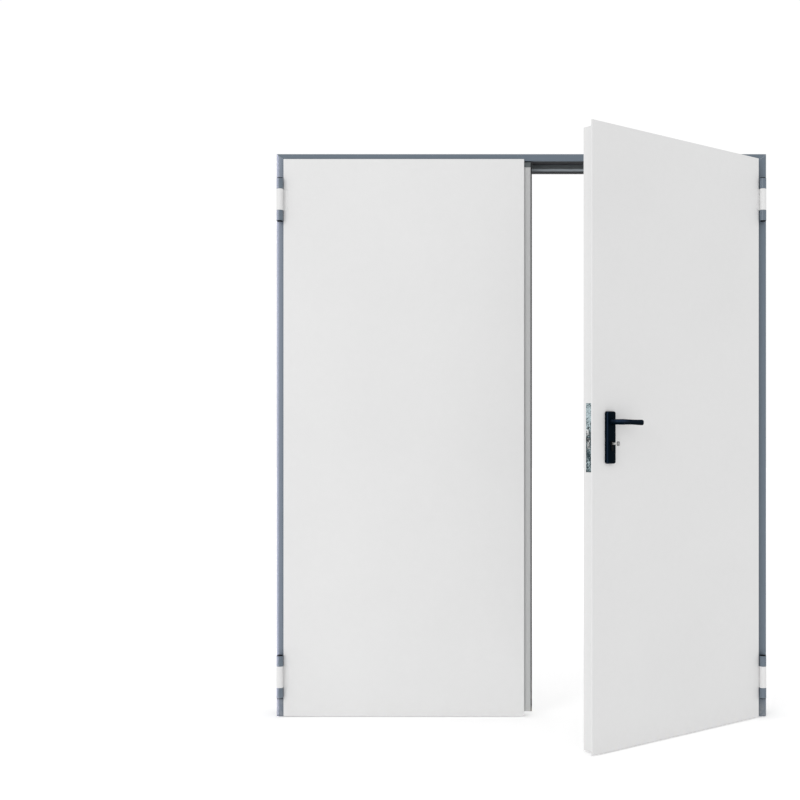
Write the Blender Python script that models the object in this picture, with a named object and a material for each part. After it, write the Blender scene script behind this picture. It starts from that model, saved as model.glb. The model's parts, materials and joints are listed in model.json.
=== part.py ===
"""A pair of steel fire doors in a folded steel frame, the right leaf standing ajar.

X runs along the opening, Y into the wall and Z up. The row's origin is the middle of the head flange's
back face, so every height below is measured from the floor and hangs from one root empty.
Leaf pieces are drawn as (u, v, z): u from the hinge axis towards the free edge, v from the axis into
the wall. The left leaf takes u as +X and the right leaf takes it as -X.
"""

import math

import bmesh
import bpy

# Fits between pieces
TOUCH = 0.0003  # between pieces that lie on each other
PLAY = 0.0001  # radial play of a hinge pin or a plug
SWING = 0.005  # between pieces that pass each other
OVERRUN = 0.01  # how far a cutter runs past the face it opens

# Frame of folded sheet
FRAME_WIDTH = 1.850
FRAME_HEIGHT = 2.123
SHEET = 0.002
SIDE_FLANGE = 0.037
HEAD_FLANGE = 0.029
EDGE_BEND = 0.012
EDGE_RETURN = 0.014
STOP_WIDTH = 0.028
STOP_DEPTH = 0.033
BACK_RETURN = 0.018
INNER_FOLD = 0.0005
FOLD_STEPS = 6

# Seal on the stop
SEAL_WIDTH = 0.014
SEAL_PROUD = 0.002
SEAL_INSET = 0.001

# Straps that tie the jambs to the wall
ANCHOR_FOOT = 0.35
ANCHOR_HEAD = 0.32
ANCHOR_TALL = 0.030
ANCHOR_SHEET = 0.002
ANCHOR_LEG = 0.038
ANCHOR_FROM = 0.014
ANCHOR_EDGE = 0.006

# Hinges
AXIS_INSET = 0.018  # from the frame's side
KNUCKLE_RADIUS = 0.0125
KNUCKLE_RUN = 0.0052  # between a turning knuckle and the frame's wing
KNUCKLE_PLAY = 0.0005
LIP_FROM_KNUCKLE = 0.0027
PIN_RADIUS = 0.005
PIN_HEAD_RADIUS = 0.0112
PIN_HEAD = 0.0025
OUTER_KNUCKLE = 0.0385
MIDDLE_KNUCKLE = 0.081
HINGE_FOOT = 0.153
HINGE_HEAD = 0.178
FRAME_WING = 0.003
FRAME_WING_WIDTH = 0.018
NECK_WIDTH = 0.014
LEAF_WING = 0.004
LEAF_WING_DEPTH = 0.050
HINGE_SEGMENTS = 48

# Leaves of folded skins round an infill
LEAF_THICKNESS = 0.070
SKIN = 0.0015
HEM = 0.012  # how far the face's hem reaches over the tray
LIP = 0.006
LIP_OVERLAP = 0.006
LIP_FOOT = 0.0025
PASSIVE_FOOT = 0.019
ACTIVE_FOOT = 0.0045
SHEET_EDGE_BEND = 0.0015
AJAR = math.radians(41.4)

# Meeting edges, from the middle of the opening
PASSIVE_LIP_X = 0.0105
LIP_GAP = 0.0065
RABBET_WIDTH = 0.024
GASKET_INSET = 0.003
GASKET_PROUD = 0.003
GASKET_DEPTH = 0.008

# Lock
BACKSET = 0.050
LOCK_FROM_BACK = 0.0235
SPINDLE_HEIGHT = 1.103
CENTRES = 0.072  # spindle above cylinder
LATCH_ABOVE_BOLT = 0.0095
FOREND_THICK = 0.003
FOREND_WIDTH = 0.024
FOREND_OVER = 0.0325
FOREND_CLEAR = 0.0012  # round the latch and the bolt
CASE_WALL = 0.0017
CASE_ABOVE = 0.030
CASE_BELOW = 0.063
CASE_BEHIND = 0.0388
LATCH_THICK = 0.012
LATCH_TALL = 0.020
LATCH_OUT = 0.014
LATCH_TAIL_CLEAR = 0.004
LATCH_TIP = 0.0024  # flat left at the end of the slope
LATCH_HEEL = 0.002  # how far the slope starts outside the forend
BOLT_THICK = 0.011
BOLT_TALL = 0.035
BOLT_THROW = 0.022
BOLT_TAIL_CLEAR = 0.0067
SLIDE_PLAY = 0.0003

# Cover plates
PLATE_WIDTH = 0.041
PLATE_ABOVE = 0.0355
PLATE_BELOW = 0.067
PLATE_PROUD = 0.0135
PLATE_CORNER = 0.007
PLATE_EDGE = 0.005
PLATE_EDGE_STEPS = 4

# Handles
HUB_RADIUS = 0.009
HUB_SEAT = 0.008
SPINDLE_HALF = 0.0045
SPINDLE_PLAY = 0.0008
GRIP_OFF = 0.048
GRIP_LENGTH = 0.118
TIP_LONG = 0.009
GRIP_HALF_TALL = 0.0095
GRIP_HALF_THICK = 0.006
ELBOW = 0.016
GRIP_SQUARENESS = 0.4  # 0 for a round grip, 1 for a square one
ELBOW_FLATNESS = 0.15  # how far the neck has turned from round to flat where the elbow starts
TIP_TALL = 0.2  # share of the grip's height left at its tip
TIP_THICK = 0.2
RING_POINTS = 24
ELBOW_STEPS = 8
GRIP_STEPS = 3
TIP_STEPS = 5

# Cylinder and key
BARREL_RADIUS = 0.0085
BARREL_WALL = 0.0015
TONGUE_HALF = 0.005
TONGUE_DROP = 0.0245
CYLINDER_PROUD = 0.003
PLUG_LENGTH = 0.040
KEY_THICK = 0.0025
KEY_REACH = 0.050
KEY_BOW_LONG = 0.0135
KEY_BOW_TALL = 0.0155
KEY_BOW_CORNER = 0.0040
KEY_SHANK = 0.007

# Passive leaf's edge
STRIKE_THICK = 0.0025
STRIKE_WIDTH = 0.024
STRIKE_OVER = 0.022
STRIKE_CLEAR = 0.003
POCKET_CLEAR = 0.008
FLUSH_THICK = 0.003
FLUSH_WIDTH = 0.020
FLUSH_TALL = 0.180
FLUSH_DROP = 0.389
FLUSH_HOLLOW_DEPTH = 0.002
FLUSH_HOLLOW_WIDTH = 0.012
FLUSH_HOLLOW_TALL = 0.060

# Derived depths and heights
FLANGE_FRONT = -SHEET
LEAF_FACE = FLANGE_FRONT - SWING - LIP
AXIS_Y = FLANGE_FRONT - TOUCH - FRAME_WING - KNUCKLE_RUN - KNUCKLE_RADIUS
STOP_FACE = LEAF_FACE + LEAF_THICKNESS + SWING + SEAL_PROUD
ORIGIN_HEIGHT = FRAME_HEIGHT - HEAD_FLANGE / 2
SOFFIT_HEIGHT = FRAME_HEIGHT - HEAD_FLANGE
LIP_TOP = SOFFIT_HEIGHT + LIP_OVERLAP
BODY_TOP = SOFFIT_HEIGHT - SWING
ANCHOR_HEIGHTS = (ANCHOR_FOOT, (ANCHOR_FOOT + FRAME_HEIGHT - ANCHOR_HEAD) / 2, FRAME_HEIGHT - ANCHOR_HEAD)
HINGE_HEIGHTS = (HINGE_FOOT, FRAME_HEIGHT - HINGE_HEAD)
HINGE_HALF = MIDDLE_KNUCKLE / 2 + OUTER_KNUCKLE
FLUSH_HEIGHT = BODY_TOP - FLUSH_DROP

# Derived leaf sections
AXIS_X = FRAME_WIDTH / 2 - AXIS_INSET
FACE_V = LEAF_FACE - AXIS_Y
LIP_BACK_V = FACE_V + LIP
BODY_FRONT_V = LIP_BACK_V + TOUCH
BODY_BACK_V = FACE_V + LEAF_THICKNESS
RECESS_V = LIP_BACK_V + SWING
LIP_FROM_AXIS = math.sqrt((KNUCKLE_RADIUS + LIP_FROM_KNUCKLE) ** 2 - FACE_V**2)
BODY_EDGE_U = SIDE_FLANGE - AXIS_INSET + SWING
PASSIVE_LIP_U = AXIS_X + PASSIVE_LIP_X
PASSIVE_EDGE_U = PASSIVE_LIP_U + RABBET_WIDTH
GASKET_U = PASSIVE_EDGE_U + GASKET_PROUD
ACTIVE_LIP_U = AXIS_X - PASSIVE_LIP_X - LIP_GAP
# the active core's back corner clears the gasket as it swings past
CORNER_SWEEP = 2 * AXIS_X - GASKET_U - SWING
ACTIVE_EDGE_U = math.sqrt(CORNER_SWEEP**2 - BODY_BACK_V**2)

# Derived lock sizes
SPINDLE_U = ACTIVE_EDGE_U - BACKSET
LOCK_DEPTH = BODY_BACK_V - LOCK_FROM_BACK
CYLINDER_HEIGHT = SPINDLE_HEIGHT - CENTRES
LATCH_HEIGHT = CYLINDER_HEIGHT + BOLT_TALL / 2 + LATCH_ABOVE_BOLT + LATCH_TALL / 2
SPINDLE_BORE = SPINDLE_HALF * math.sqrt(2) + SPINDLE_PLAY
CASE_THICK = LATCH_THICK + 2 * (SLIDE_PLAY + CASE_WALL)
CASE_HEIGHTS = (CYLINDER_HEIGHT - CASE_BELOW, SPINDLE_HEIGHT + CASE_ABOVE)
PLATE_HEIGHTS = (CYLINDER_HEIGHT - PLATE_BELOW, SPINDLE_HEIGHT + PLATE_ABOVE)
LATCH_BODY = BACKSET - LATCH_OUT - SPINDLE_BORE - LATCH_TAIL_CLEAR
BOLT_LENGTH = BACKSET - BARREL_RADIUS - BOLT_TAIL_CLEAR
PLUG_RADIUS = BARREL_RADIUS - BARREL_WALL
STRIKE_POCKET = BOLT_THROW + POCKET_CLEAR

LEFT = 1
RIGHT = -1

# Facets round a bore and a cylinder's barrel
BORE_SEGMENTS = 32
BARREL_STEPS = 28
TONGUE_STEPS = 10


def clear_scene():
    """Removes whatever objects the scene holds."""
    for obj in list(bpy.data.objects):
        bpy.data.objects.remove(obj, do_unlink=True)


def paint(name, colour, roughness, metallic):
    """A Principled material."""
    made = bpy.data.materials.new(name)
    made.use_nodes = True
    shader = made.node_tree.nodes["Principled BSDF"]
    shader.inputs["Base Color"].default_value = (*colour, 1.0)
    shader.inputs["Roughness"].default_value = roughness
    shader.inputs["Metallic"].default_value = metallic
    made.diffuse_color = (*colour, 1.0)
    return made


def axis_empty(name, location, parent=None, turn=0.0):
    """An empty that carries pieces, turned about Z."""
    empty = bpy.data.objects.new(name, None)
    empty.location = location
    empty.rotation_euler = (0.0, 0.0, turn)
    empty.parent = parent
    bpy.context.collection.objects.link(empty)
    return empty


def new_object(name, mesh, parent, location=(0.0, 0.0, 0.0)):
    """Links a mesh under its parent."""
    obj = bpy.data.objects.new(name, mesh)
    obj.parent = parent
    obj.location = location
    bpy.context.collection.objects.link(obj)
    return obj


def mesh_from(name, shape, material=None, hand=LEFT):
    """Turns a bmesh into a mesh with its faces outwards; the right hand is the mirrored form."""
    bmesh.ops.scale(shape, vec=(hand, 1.0, 1.0), verts=shape.verts)
    bmesh.ops.recalc_face_normals(shape, faces=shape.faces)
    mesh = bpy.data.meshes.new(name)
    shape.to_mesh(mesh)
    shape.free()
    if material:
        mesh.materials.append(material)
    return mesh


def piece(name, shape, material, parent, hand=LEFT):
    """One sub-part."""
    return new_object(name, mesh_from(name, shape, material, hand), parent)


def helper(name, shape, parent, hand=LEFT, location=(0.0, 0.0, 0.0)):
    """A shape that only cuts or joins others."""
    obj = new_object(name, mesh_from(name, shape, hand=hand), parent, location)
    obj.hide_render = True
    obj.display_type = "WIRE"
    return obj


def combine(obj, other, operation="UNION"):
    """An exact Boolean of one object with another."""
    step = obj.modifiers.new(other.name, "BOOLEAN")
    step.operation = operation
    step.solver = "EXACT"
    step.object = other


def cut(cutter, *objects):
    """Takes one shape out of each of the objects."""
    for obj in objects:
        combine(obj, cutter, "DIFFERENCE")


def round_edges(obj, width, segments=2):
    """Bevels every sharp edge."""
    step = obj.modifiers.new("rounded", "BEVEL")
    step.width = width
    step.segments = segments
    step.limit_method = "ANGLE"
    step.angle_limit = math.radians(40.0)


def extruded(outline, low, high, along="Z"):
    """Extrudes a flat outline; its two coordinates are the two axes left over, in X, Y, Z order."""
    order = {"X": (2, 0, 1), "Y": (0, 2, 1), "Z": (0, 1, 2)}[along]

    def placed(point, level):
        return [(*point, level)[i] for i in order]

    shape = bmesh.new()
    face = shape.faces.new([shape.verts.new(placed(point, low)) for point in outline])
    pushed = bmesh.ops.extrude_face_region(shape, geom=[face])["geom"]
    moved = [item for item in pushed if isinstance(item, bmesh.types.BMVert)]
    bmesh.ops.translate(shape, vec=placed((0.0, 0.0), high - low), verts=moved)
    return shape


def block(x, y, z):
    """A box between three pairs of limits."""
    return extruded([(x[0], y[0]), (x[1], y[0]), (x[1], y[1]), (x[0], y[1])], *z)


def arc(centre, radius, start, end, steps):
    """Points along an arc, in degrees, both ends included."""
    angles = [math.radians(start + (end - start) * i / steps) for i in range(steps + 1)]
    return [(centre[0] + radius * math.cos(a), centre[1] + radius * math.sin(a)) for a in angles]


def circle(centre, radius, count):
    """Points round a full circle."""
    return arc(centre, radius, 0.0, 360.0, count)[:-1]


def rounded_rectangle(x, z, radius, steps=5):
    """A rectangle between two pairs of limits with round corners."""
    corners = ((x[1], z[1], 0.0), (x[0], z[1], 90.0), (x[0], z[0], 180.0), (x[1], z[0], 270.0))
    points = []
    for corner_x, corner_z, start in corners:
        centre_x = corner_x + (radius if corner_x == x[0] else -radius)
        centre_z = corner_z + (radius if corner_z == z[0] else -radius)
        points += arc((centre_x, centre_z), radius, start, start + 90.0, steps)
    return points


def turned(profile, count):
    """Spins a profile of (radius, height) points about Z."""
    shape = bmesh.new()
    verts = [shape.verts.new((radius, 0.0, height)) for radius, height in profile]
    edges = [shape.edges.new(pair) for pair in zip(verts, verts[1:])]
    bmesh.ops.spin(
        shape,
        geom=verts + edges,
        cent=(0.0, 0.0, 0.0),
        axis=(0.0, 0.0, 1.0),
        angle=math.tau,
        steps=count,
        use_duplicate=False,
    )
    bmesh.ops.remove_doubles(shape, verts=shape.verts, dist=1e-6)
    return shape


def skin_rings(shape, rings):
    """Joins each ring of points to the next and closes both ends."""
    for ring, following in zip(rings, rings[1:]):
        for i in range(len(ring)):
            after = (i + 1) % len(ring)
            shape.faces.new((ring[i], ring[after], following[after], following[i]))
    shape.faces.new(rings[0])
    shape.faces.new(rings[-1])


def fold_sheet(path, radii):
    """Folds a sheet along its visible side and returns (visible point, hidden point) pairs.

    The hidden side lies to the left of the path. A bend towards it is tighter on that side, and a bend
    away from it is wider.
    """
    pairs = []
    for i, point in enumerate(path):
        before = path[i - 1] if i else None
        after = path[i + 1] if i + 1 < len(path) else None
        into = heading(before, point) if before else heading(point, after)
        out = heading(point, after) if after else into
        if not before or not after:
            hidden = (point[0] - into[1] * SHEET, point[1] + into[0] * SHEET)
            pairs.append((point, hidden))
            continue
        side = 1.0 if into[0] * out[1] - into[1] * out[0] > 0.0 else -1.0
        radius = radii[i]
        centre = (
            point[0] - into[0] * radius + side * -into[1] * radius,
            point[1] - into[1] * radius + side * into[0] * radius,
        )
        start = math.degrees(math.atan2(-side * into[0], side * into[1]))
        hidden_radius = radius - side * SHEET
        seen = arc(centre, radius, start, start + side * 90.0, FOLD_STEPS)
        unseen = arc(centre, hidden_radius, start, start + side * 90.0, FOLD_STEPS)
        pairs += zip(seen, unseen)
    return pairs


def heading(start, end):
    """Unit direction from one point to another."""
    length = math.hypot(end[0] - start[0], end[1] - start[1])
    return ((end[0] - start[0]) / length, (end[1] - start[1]) / length)


def frame_section():
    """The frame's folded section: (inset from the outer edge, depth into the wall) pairs."""
    stop_in = SIDE_FLANGE + STOP_WIDTH
    back = STOP_FACE + STOP_DEPTH
    path = [
        (0.0, FLANGE_FRONT + EDGE_RETURN),
        (0.0, FLANGE_FRONT),
        (SIDE_FLANGE, FLANGE_FRONT),
        (SIDE_FLANGE, STOP_FACE),
        (stop_in, STOP_FACE),
        (stop_in, back),
        (stop_in - BACK_RETURN, back),
    ]
    outer_fold = INNER_FOLD + SHEET
    radii = [0.0, EDGE_BEND, outer_fold, INNER_FOLD, outer_fold, outer_fold, 0.0]
    return fold_sheet(path, radii)


def head_inset(inset):
    """The head's flange is narrower than the jambs', and all behind it moves up with it."""
    return inset if inset < SIDE_FLANGE / 2 else inset - SIDE_FLANGE + HEAD_FLANGE


def mitred(near, far):
    """A folded member: a strip of section faces extruded, and each far corner put on its own mitre."""
    shape = bmesh.new()
    rows = [[shape.verts.new(near(*point)) for point in pair] for pair in frame_section()]
    target = {v: far(*point) for row, pair in zip(rows, frame_section()) for v, point in zip(row, pair)}
    strip = [shape.faces.new((a[0], b[0], b[1], a[1])) for a, b in zip(rows, rows[1:])]
    places = {tuple(round(c, 7) for c in v.co): target[v] for v in target}
    pushed = bmesh.ops.extrude_face_region(shape, geom=strip)["geom"]
    for item in pushed:
        if isinstance(item, bmesh.types.BMVert):
            item.co = places[tuple(round(c, 7) for c in item.co)]
    return shape


def build_frame(root, paints):
    """Two jambs and a head, mitred at the corners, with their seals, straps and hinge wings."""
    half = FRAME_WIDTH / 2

    def jamb_foot(inset, depth):
        return (-half + inset, depth, 0.0)

    def jamb_top(inset, depth):
        return (-half + inset, depth, FRAME_HEIGHT - head_inset(inset) - TOUCH)

    def head_left(inset, depth):
        return (-half + inset, depth, FRAME_HEIGHT - head_inset(inset))

    def head_right(inset, depth):
        return (half - inset, depth, FRAME_HEIGHT - head_inset(inset))

    for side, hand in (("left", LEFT), ("right", RIGHT)):
        piece(f"frame_jamb_{side}", mitred(jamb_foot, jamb_top), paints["frame"], root, hand)
    piece("frame_head", mitred(head_left, head_right), paints["frame"], root)
    build_seals(root, paints)
    build_anchors(root, paints)


def build_seals(root, paints):
    """Strips on the stop's face that the leaves close against."""
    side_from = -FRAME_WIDTH / 2 + SIDE_FLANGE + SEAL_INSET
    head_under = SOFFIT_HEIGHT - SEAL_INSET
    depth = (STOP_FACE - SEAL_PROUD, STOP_FACE - TOUCH)
    side_top = head_under - SEAL_WIDTH - TOUCH
    for side, hand in (("left", LEFT), ("right", RIGHT)):
        strip = block((side_from, side_from + SEAL_WIDTH), depth, (0.0, side_top))
        piece(f"seal_{side}", strip, paints["seal"], root, hand)
    head_strip = block((side_from, -side_from), depth, (head_under - SEAL_WIDTH, head_under))
    piece("seal_head", head_strip, paints["seal"], root)


def build_anchors(root, paints):
    """Bent straps behind the jambs' rebate walls."""
    wall = -FRAME_WIDTH / 2 + SIDE_FLANGE - SHEET - TOUCH
    far = -FRAME_WIDTH / 2 + ANCHOR_EDGE
    back = ANCHOR_FROM + ANCHOR_LEG
    outline = [
        (wall - ANCHOR_SHEET, ANCHOR_FROM),
        (wall, ANCHOR_FROM),
        (wall, back),
        (far, back),
        (far, back - ANCHOR_SHEET),
        (wall - ANCHOR_SHEET, back - ANCHOR_SHEET),
    ]
    for side, hand in (("left", LEFT), ("right", RIGHT)):
        mesh = mesh_from(f"anchor_{side}", extruded(outline, 0.0, ANCHOR_TALL), paints["zinc"], hand)
        for number, height in enumerate(ANCHOR_HEIGHTS, 1):
            new_object(f"anchor_{side}_{number}", mesh, root, (0.0, 0.0, height - ANCHOR_TALL / 2))


def build_hinges(root, leaf_axis, side, hand, paints):
    """Two three-knuckle hinges: the outer knuckles on the frame, the middle one on the leaf."""
    frame_axis = axis_empty(f"hinge_line_{side}", (-hand * AXIS_X, AXIS_Y, 0.0), root)
    bore_top = max(HINGE_HEIGHTS) + HINGE_HALF + OVERRUN
    bore_outline = circle((0.0, 0.0), PIN_RADIUS + PLAY, HINGE_SEGMENTS)
    frame_bore = helper(f"bore_frame_{side}", extruded(bore_outline, 0.0, bore_top), frame_axis)
    leaf_bore = helper(f"bore_leaf_{side}", extruded(bore_outline, 0.0, bore_top), leaf_axis)
    wing_back = FLANGE_FRONT - TOUCH - AXIS_Y
    wing_front = wing_back - FRAME_WING
    frame_mesh = mesh_from(
        f"frame_wing_{side}",
        block((-FRAME_WING_WIDTH / 2, FRAME_WING_WIDTH / 2), (wing_front, wing_back), (-HINGE_HALF, HINGE_HALF)),
        paints["frame"],
    )
    knuckle = knuckle_outline(wing_front + FRAME_WING / 2)
    middle = MIDDLE_KNUCKLE / 2
    leaf_mesh = mesh_from(
        f"leaf_wing_{side}",
        extruded(leaf_wing_outline(), KNUCKLE_PLAY - middle, middle - KNUCKLE_PLAY),
        paints["leaf"],
        hand,
    )
    pin_top = HINGE_HALF + TOUCH
    pin_mesh = mesh_from(
        f"hinge_pin_{side}",
        turned(
            [
                (0.0, -pin_top - PIN_HEAD),
                (PIN_HEAD_RADIUS, -pin_top - PIN_HEAD),
                (PIN_HEAD_RADIUS, -pin_top),
                (PIN_RADIUS, -pin_top),
                (PIN_RADIUS, pin_top),
                (PIN_HEAD_RADIUS, pin_top),
                (PIN_HEAD_RADIUS, pin_top + PIN_HEAD),
                (0.0, pin_top + PIN_HEAD),
            ],
            HINGE_SEGMENTS,
        ),
        paints["dark"],
    )
    for place, height in zip(("lower", "upper"), HINGE_HEIGHTS):
        centre = (0.0, 0.0, height)
        frame_wing = new_object(f"hinge_{side}_{place}_frame", frame_mesh, frame_axis, centre)
        for end, low in (("foot", -HINGE_HALF), ("head", middle)):
            shape = extruded(knuckle, low, low + OUTER_KNUCKLE)
            added = helper(f"knuckle_{side}_{place}_{end}", shape, frame_axis, location=centre)
            combine(frame_wing, added)
        cut(frame_bore, frame_wing)
        leaf_wing = new_object(f"hinge_{side}_{place}_leaf", leaf_mesh, leaf_axis, centre)
        cut(leaf_bore, leaf_wing)
        new_object(f"hinge_{side}_{place}_pin", pin_mesh, frame_axis, centre)


def knuckle_outline(reach):
    """An outer knuckle's outline with the neck that joins it to its wing."""
    half = NECK_WIDTH / 2
    meet = math.degrees(math.acos(half / KNUCKLE_RADIUS))
    around = arc((0.0, 0.0), KNUCKLE_RADIUS, 180.0 - meet, 360.0 + meet, HINGE_SEGMENTS)
    return around + [(half, reach), (-half, reach)]


def leaf_wing_outline():
    """The leaf's wing: a knuckle, a strap flush with the leaf's face and a leg along the leaf's edge."""
    far = BODY_EDGE_U + LEAF_WING
    strap_back = FACE_V + LEAF_WING
    start = math.degrees(math.asin(min(strap_back / KNUCKLE_RADIUS, 1.0)))
    end = math.degrees(math.asin(FACE_V / KNUCKLE_RADIUS)) + 360.0
    around = arc((0.0, 0.0), KNUCKLE_RADIUS, start, end, HINGE_SEGMENTS)
    foot = FACE_V + LEAF_WING_DEPTH
    return around + [(far, FACE_V), (far, foot), (BODY_EDGE_U, foot), (BODY_EDGE_U, strap_back)]


def cut_hinge_seats(parts, axis, hand, side):
    """Notches the face's lip and lets both wings into the leaf's edge."""
    face, tray, infill = parts
    half = MIDDLE_KNUCKLE / 2 + TOUCH - KNUCKLE_PLAY
    deep = BODY_EDGE_U + LEAF_WING + TOUCH
    foot = FACE_V + LEAF_WING_DEPTH + TOUCH
    for place, height in zip(("lower", "upper"), HINGE_HEIGHTS):
        z = (height - half, height + half)
        notch = block((0.0, deep), (FACE_V - OVERRUN, LIP_BACK_V + OVERRUN), z)
        cut(helper(f"notch_{side}_{place}", notch, axis, hand), face)
        seat = block((0.0, deep), (0.0, foot), z)
        cut(helper(f"seat_{side}_{place}", seat, axis, hand), tray, infill)


def core_outline(hand, inset, front):
    """The section behind the face, drawn in from its outside; the left one has the lip's rabbet."""
    near = BODY_EDGE_U + inset
    back = BODY_BACK_V - inset
    if hand == RIGHT:
        far = ACTIVE_EDGE_U - inset
        return [(near, front), (far, front), (far, back), (near, back)]
    step = PASSIVE_LIP_U - inset
    rabbet = PASSIVE_EDGE_U - GASKET_INSET - inset
    far = PASSIVE_EDGE_U - inset
    floor = RECESS_V + inset
    ledge = floor + GASKET_DEPTH
    return [
        (near, front),
        (step, front),
        (step, floor),
        (rabbet, floor),
        (rabbet, ledge),
        (far, ledge),
        (far, back),
        (near, back),
    ]


def build_shell(side, hand, axis, paints):
    """A leaf's face with its hemmed lip, the tray behind it and the infill between them."""
    lip_u = PASSIVE_LIP_U if hand == LEFT else ACTIVE_LIP_U
    core_u = PASSIVE_LIP_U if hand == LEFT else ACTIVE_EDGE_U
    body_foot = PASSIVE_FOOT if hand == LEFT else ACTIVE_FOOT
    lip = (LIP_FROM_AXIS, lip_u), (FACE_V, LIP_BACK_V), (LIP_FOOT, LIP_TOP)
    face = piece(f"{side}_face", block(*lip), paints["leaf"], axis, hand)
    round_edges(face, SHEET_EDGE_BEND)
    hollow = block(*[(low + SKIN, high - SKIN) for low, high in lip])
    cut(helper(f"{side}_hem_hollow", hollow, axis, hand), face)
    mouth_u = (BODY_EDGE_U + HEM, core_u - HEM)
    mouth_z = (body_foot + HEM, BODY_TOP - HEM)
    mouth = block(mouth_u, (FACE_V + 2 * SKIN, LIP_BACK_V + OVERRUN), mouth_z)
    cut(helper(f"{side}_mouth", mouth, axis, hand), face)
    box = extruded(core_outline(hand, 0.0, BODY_FRONT_V), body_foot, BODY_TOP)
    tray = piece(f"{side}_tray", box, paints["leaf"], axis, hand)
    inner_z = (body_foot + SKIN, BODY_TOP - SKIN)
    inside = extruded(core_outline(hand, SKIN, BODY_FRONT_V - OVERRUN), *inner_z)
    cut(helper(f"{side}_tray_hollow", inside, axis, hand), tray)
    fill_z = (inner_z[0] + TOUCH, inner_z[1] - TOUCH)
    filling = extruded(core_outline(hand, SKIN + TOUCH, BODY_FRONT_V), *fill_z)
    infill = piece(f"{side}_infill", filling, paints["wool"], axis, hand)
    behind_face = block(
        [mouth_u[0] + TOUCH, mouth_u[1] - TOUCH],
        (FACE_V + SKIN + TOUCH, BODY_FRONT_V + OVERRUN),
        [mouth_z[0] + TOUCH, mouth_z[1] - TOUCH],
    )
    combine(infill, helper(f"{side}_infill_front", behind_face, axis, hand))
    return face, tray, infill


def cylinder_outline(u, height, grow=0.0):
    """The profile cylinder's outline: a round barrel with a narrow tongue below it."""
    radius = BARREL_RADIUS + grow
    half = TONGUE_HALF + grow
    meet = math.degrees(math.asin(half / radius))
    barrel = arc((u, height), radius, meet - 90.0, 270.0 - meet, BARREL_STEPS)
    tip = arc((u, height - TONGUE_DROP + TONGUE_HALF), half, 180.0, 360.0, TONGUE_STEPS)
    return barrel + tip


def build_passive_leaf(axis, paints):
    """The left leaf, with the gasket in its meeting edge and the edge fittings."""
    parts = build_shell("passive", LEFT, axis, paints)
    cut_hinge_seats(parts, axis, LEFT, "left")
    gasket = block(
        (PASSIVE_EDGE_U - GASKET_INSET + TOUCH, GASKET_U),
        (RECESS_V, RECESS_V + GASKET_DEPTH - TOUCH),
        (PASSIVE_FOOT, BODY_TOP),
    )
    piece("meeting_gasket", gasket, paints["seal"], axis)
    build_strike(parts, axis, paints)
    build_flush_bolt(parts, axis, paints)


def build_strike(parts, axis, paints):
    """A plate let into the passive leaf's edge, with holes and pockets for the latch and the bolt."""
    outer = (PASSIVE_EDGE_U - STRIKE_THICK, PASSIVE_EDGE_U)
    v = (LOCK_DEPTH - STRIKE_WIDTH / 2, LOCK_DEPTH + STRIKE_WIDTH / 2)
    z = (
        CYLINDER_HEIGHT - BOLT_TALL / 2 - STRIKE_CLEAR - STRIKE_OVER,
        LATCH_HEIGHT + LATCH_TALL / 2 + STRIKE_CLEAR + STRIKE_OVER,
    )
    plate = piece("strike_plate", block(outer, v, z), paints["steel"], axis)
    seat = block(
        (outer[0] - TOUCH, outer[1] + OVERRUN),
        (v[0] - TOUCH, v[1] + TOUCH),
        (z[0] - TOUCH, z[1] + TOUCH),
    )
    tray, infill = parts[1:]
    cut(helper("strike_seat", seat, axis), tray, infill)
    holes = (
        ("latch", LATCH_HEIGHT, LATCH_THICK, LATCH_TALL),
        ("bolt", CYLINDER_HEIGHT, BOLT_THICK, BOLT_TALL),
    )
    for name, height, across, up in holes:
        hole_v = (LOCK_DEPTH - across / 2 - STRIKE_CLEAR, LOCK_DEPTH + across / 2 + STRIKE_CLEAR)
        hole_z = (height - up / 2 - STRIKE_CLEAR, height + up / 2 + STRIKE_CLEAR)
        pocket = block((PASSIVE_EDGE_U - STRIKE_POCKET, PASSIVE_EDGE_U + OVERRUN), hole_v, hole_z)
        cut(helper(f"strike_pocket_{name}", pocket, axis), plate, tray, infill)


def build_flush_bolt(parts, axis, paints):
    """The face of the flush bolt in the passive leaf's edge, with its thumb slide."""
    outer = (PASSIVE_EDGE_U - FLUSH_THICK, PASSIVE_EDGE_U)
    v = (LOCK_DEPTH - FLUSH_WIDTH / 2, LOCK_DEPTH + FLUSH_WIDTH / 2)
    z = (FLUSH_HEIGHT - FLUSH_TALL / 2, FLUSH_HEIGHT + FLUSH_TALL / 2)
    plate = piece("flush_bolt_plate", block(outer, v, z), paints["steel"], axis)
    hollow = block(
        (outer[1] - FLUSH_HOLLOW_DEPTH, outer[1] + OVERRUN),
        (LOCK_DEPTH - FLUSH_HOLLOW_WIDTH / 2, LOCK_DEPTH + FLUSH_HOLLOW_WIDTH / 2),
        (FLUSH_HEIGHT - FLUSH_HOLLOW_TALL / 2, FLUSH_HEIGHT + FLUSH_HOLLOW_TALL / 2),
    )
    cut(helper("flush_bolt_hollow", hollow, axis), plate)
    seat = block(
        (outer[0] - TOUCH, outer[1] + OVERRUN),
        (v[0] - TOUCH, v[1] + TOUCH),
        (z[0] - TOUCH, z[1] + TOUCH),
    )
    tray, infill = parts[1:]
    cut(helper("flush_bolt_seat", seat, axis), tray, infill)


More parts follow.
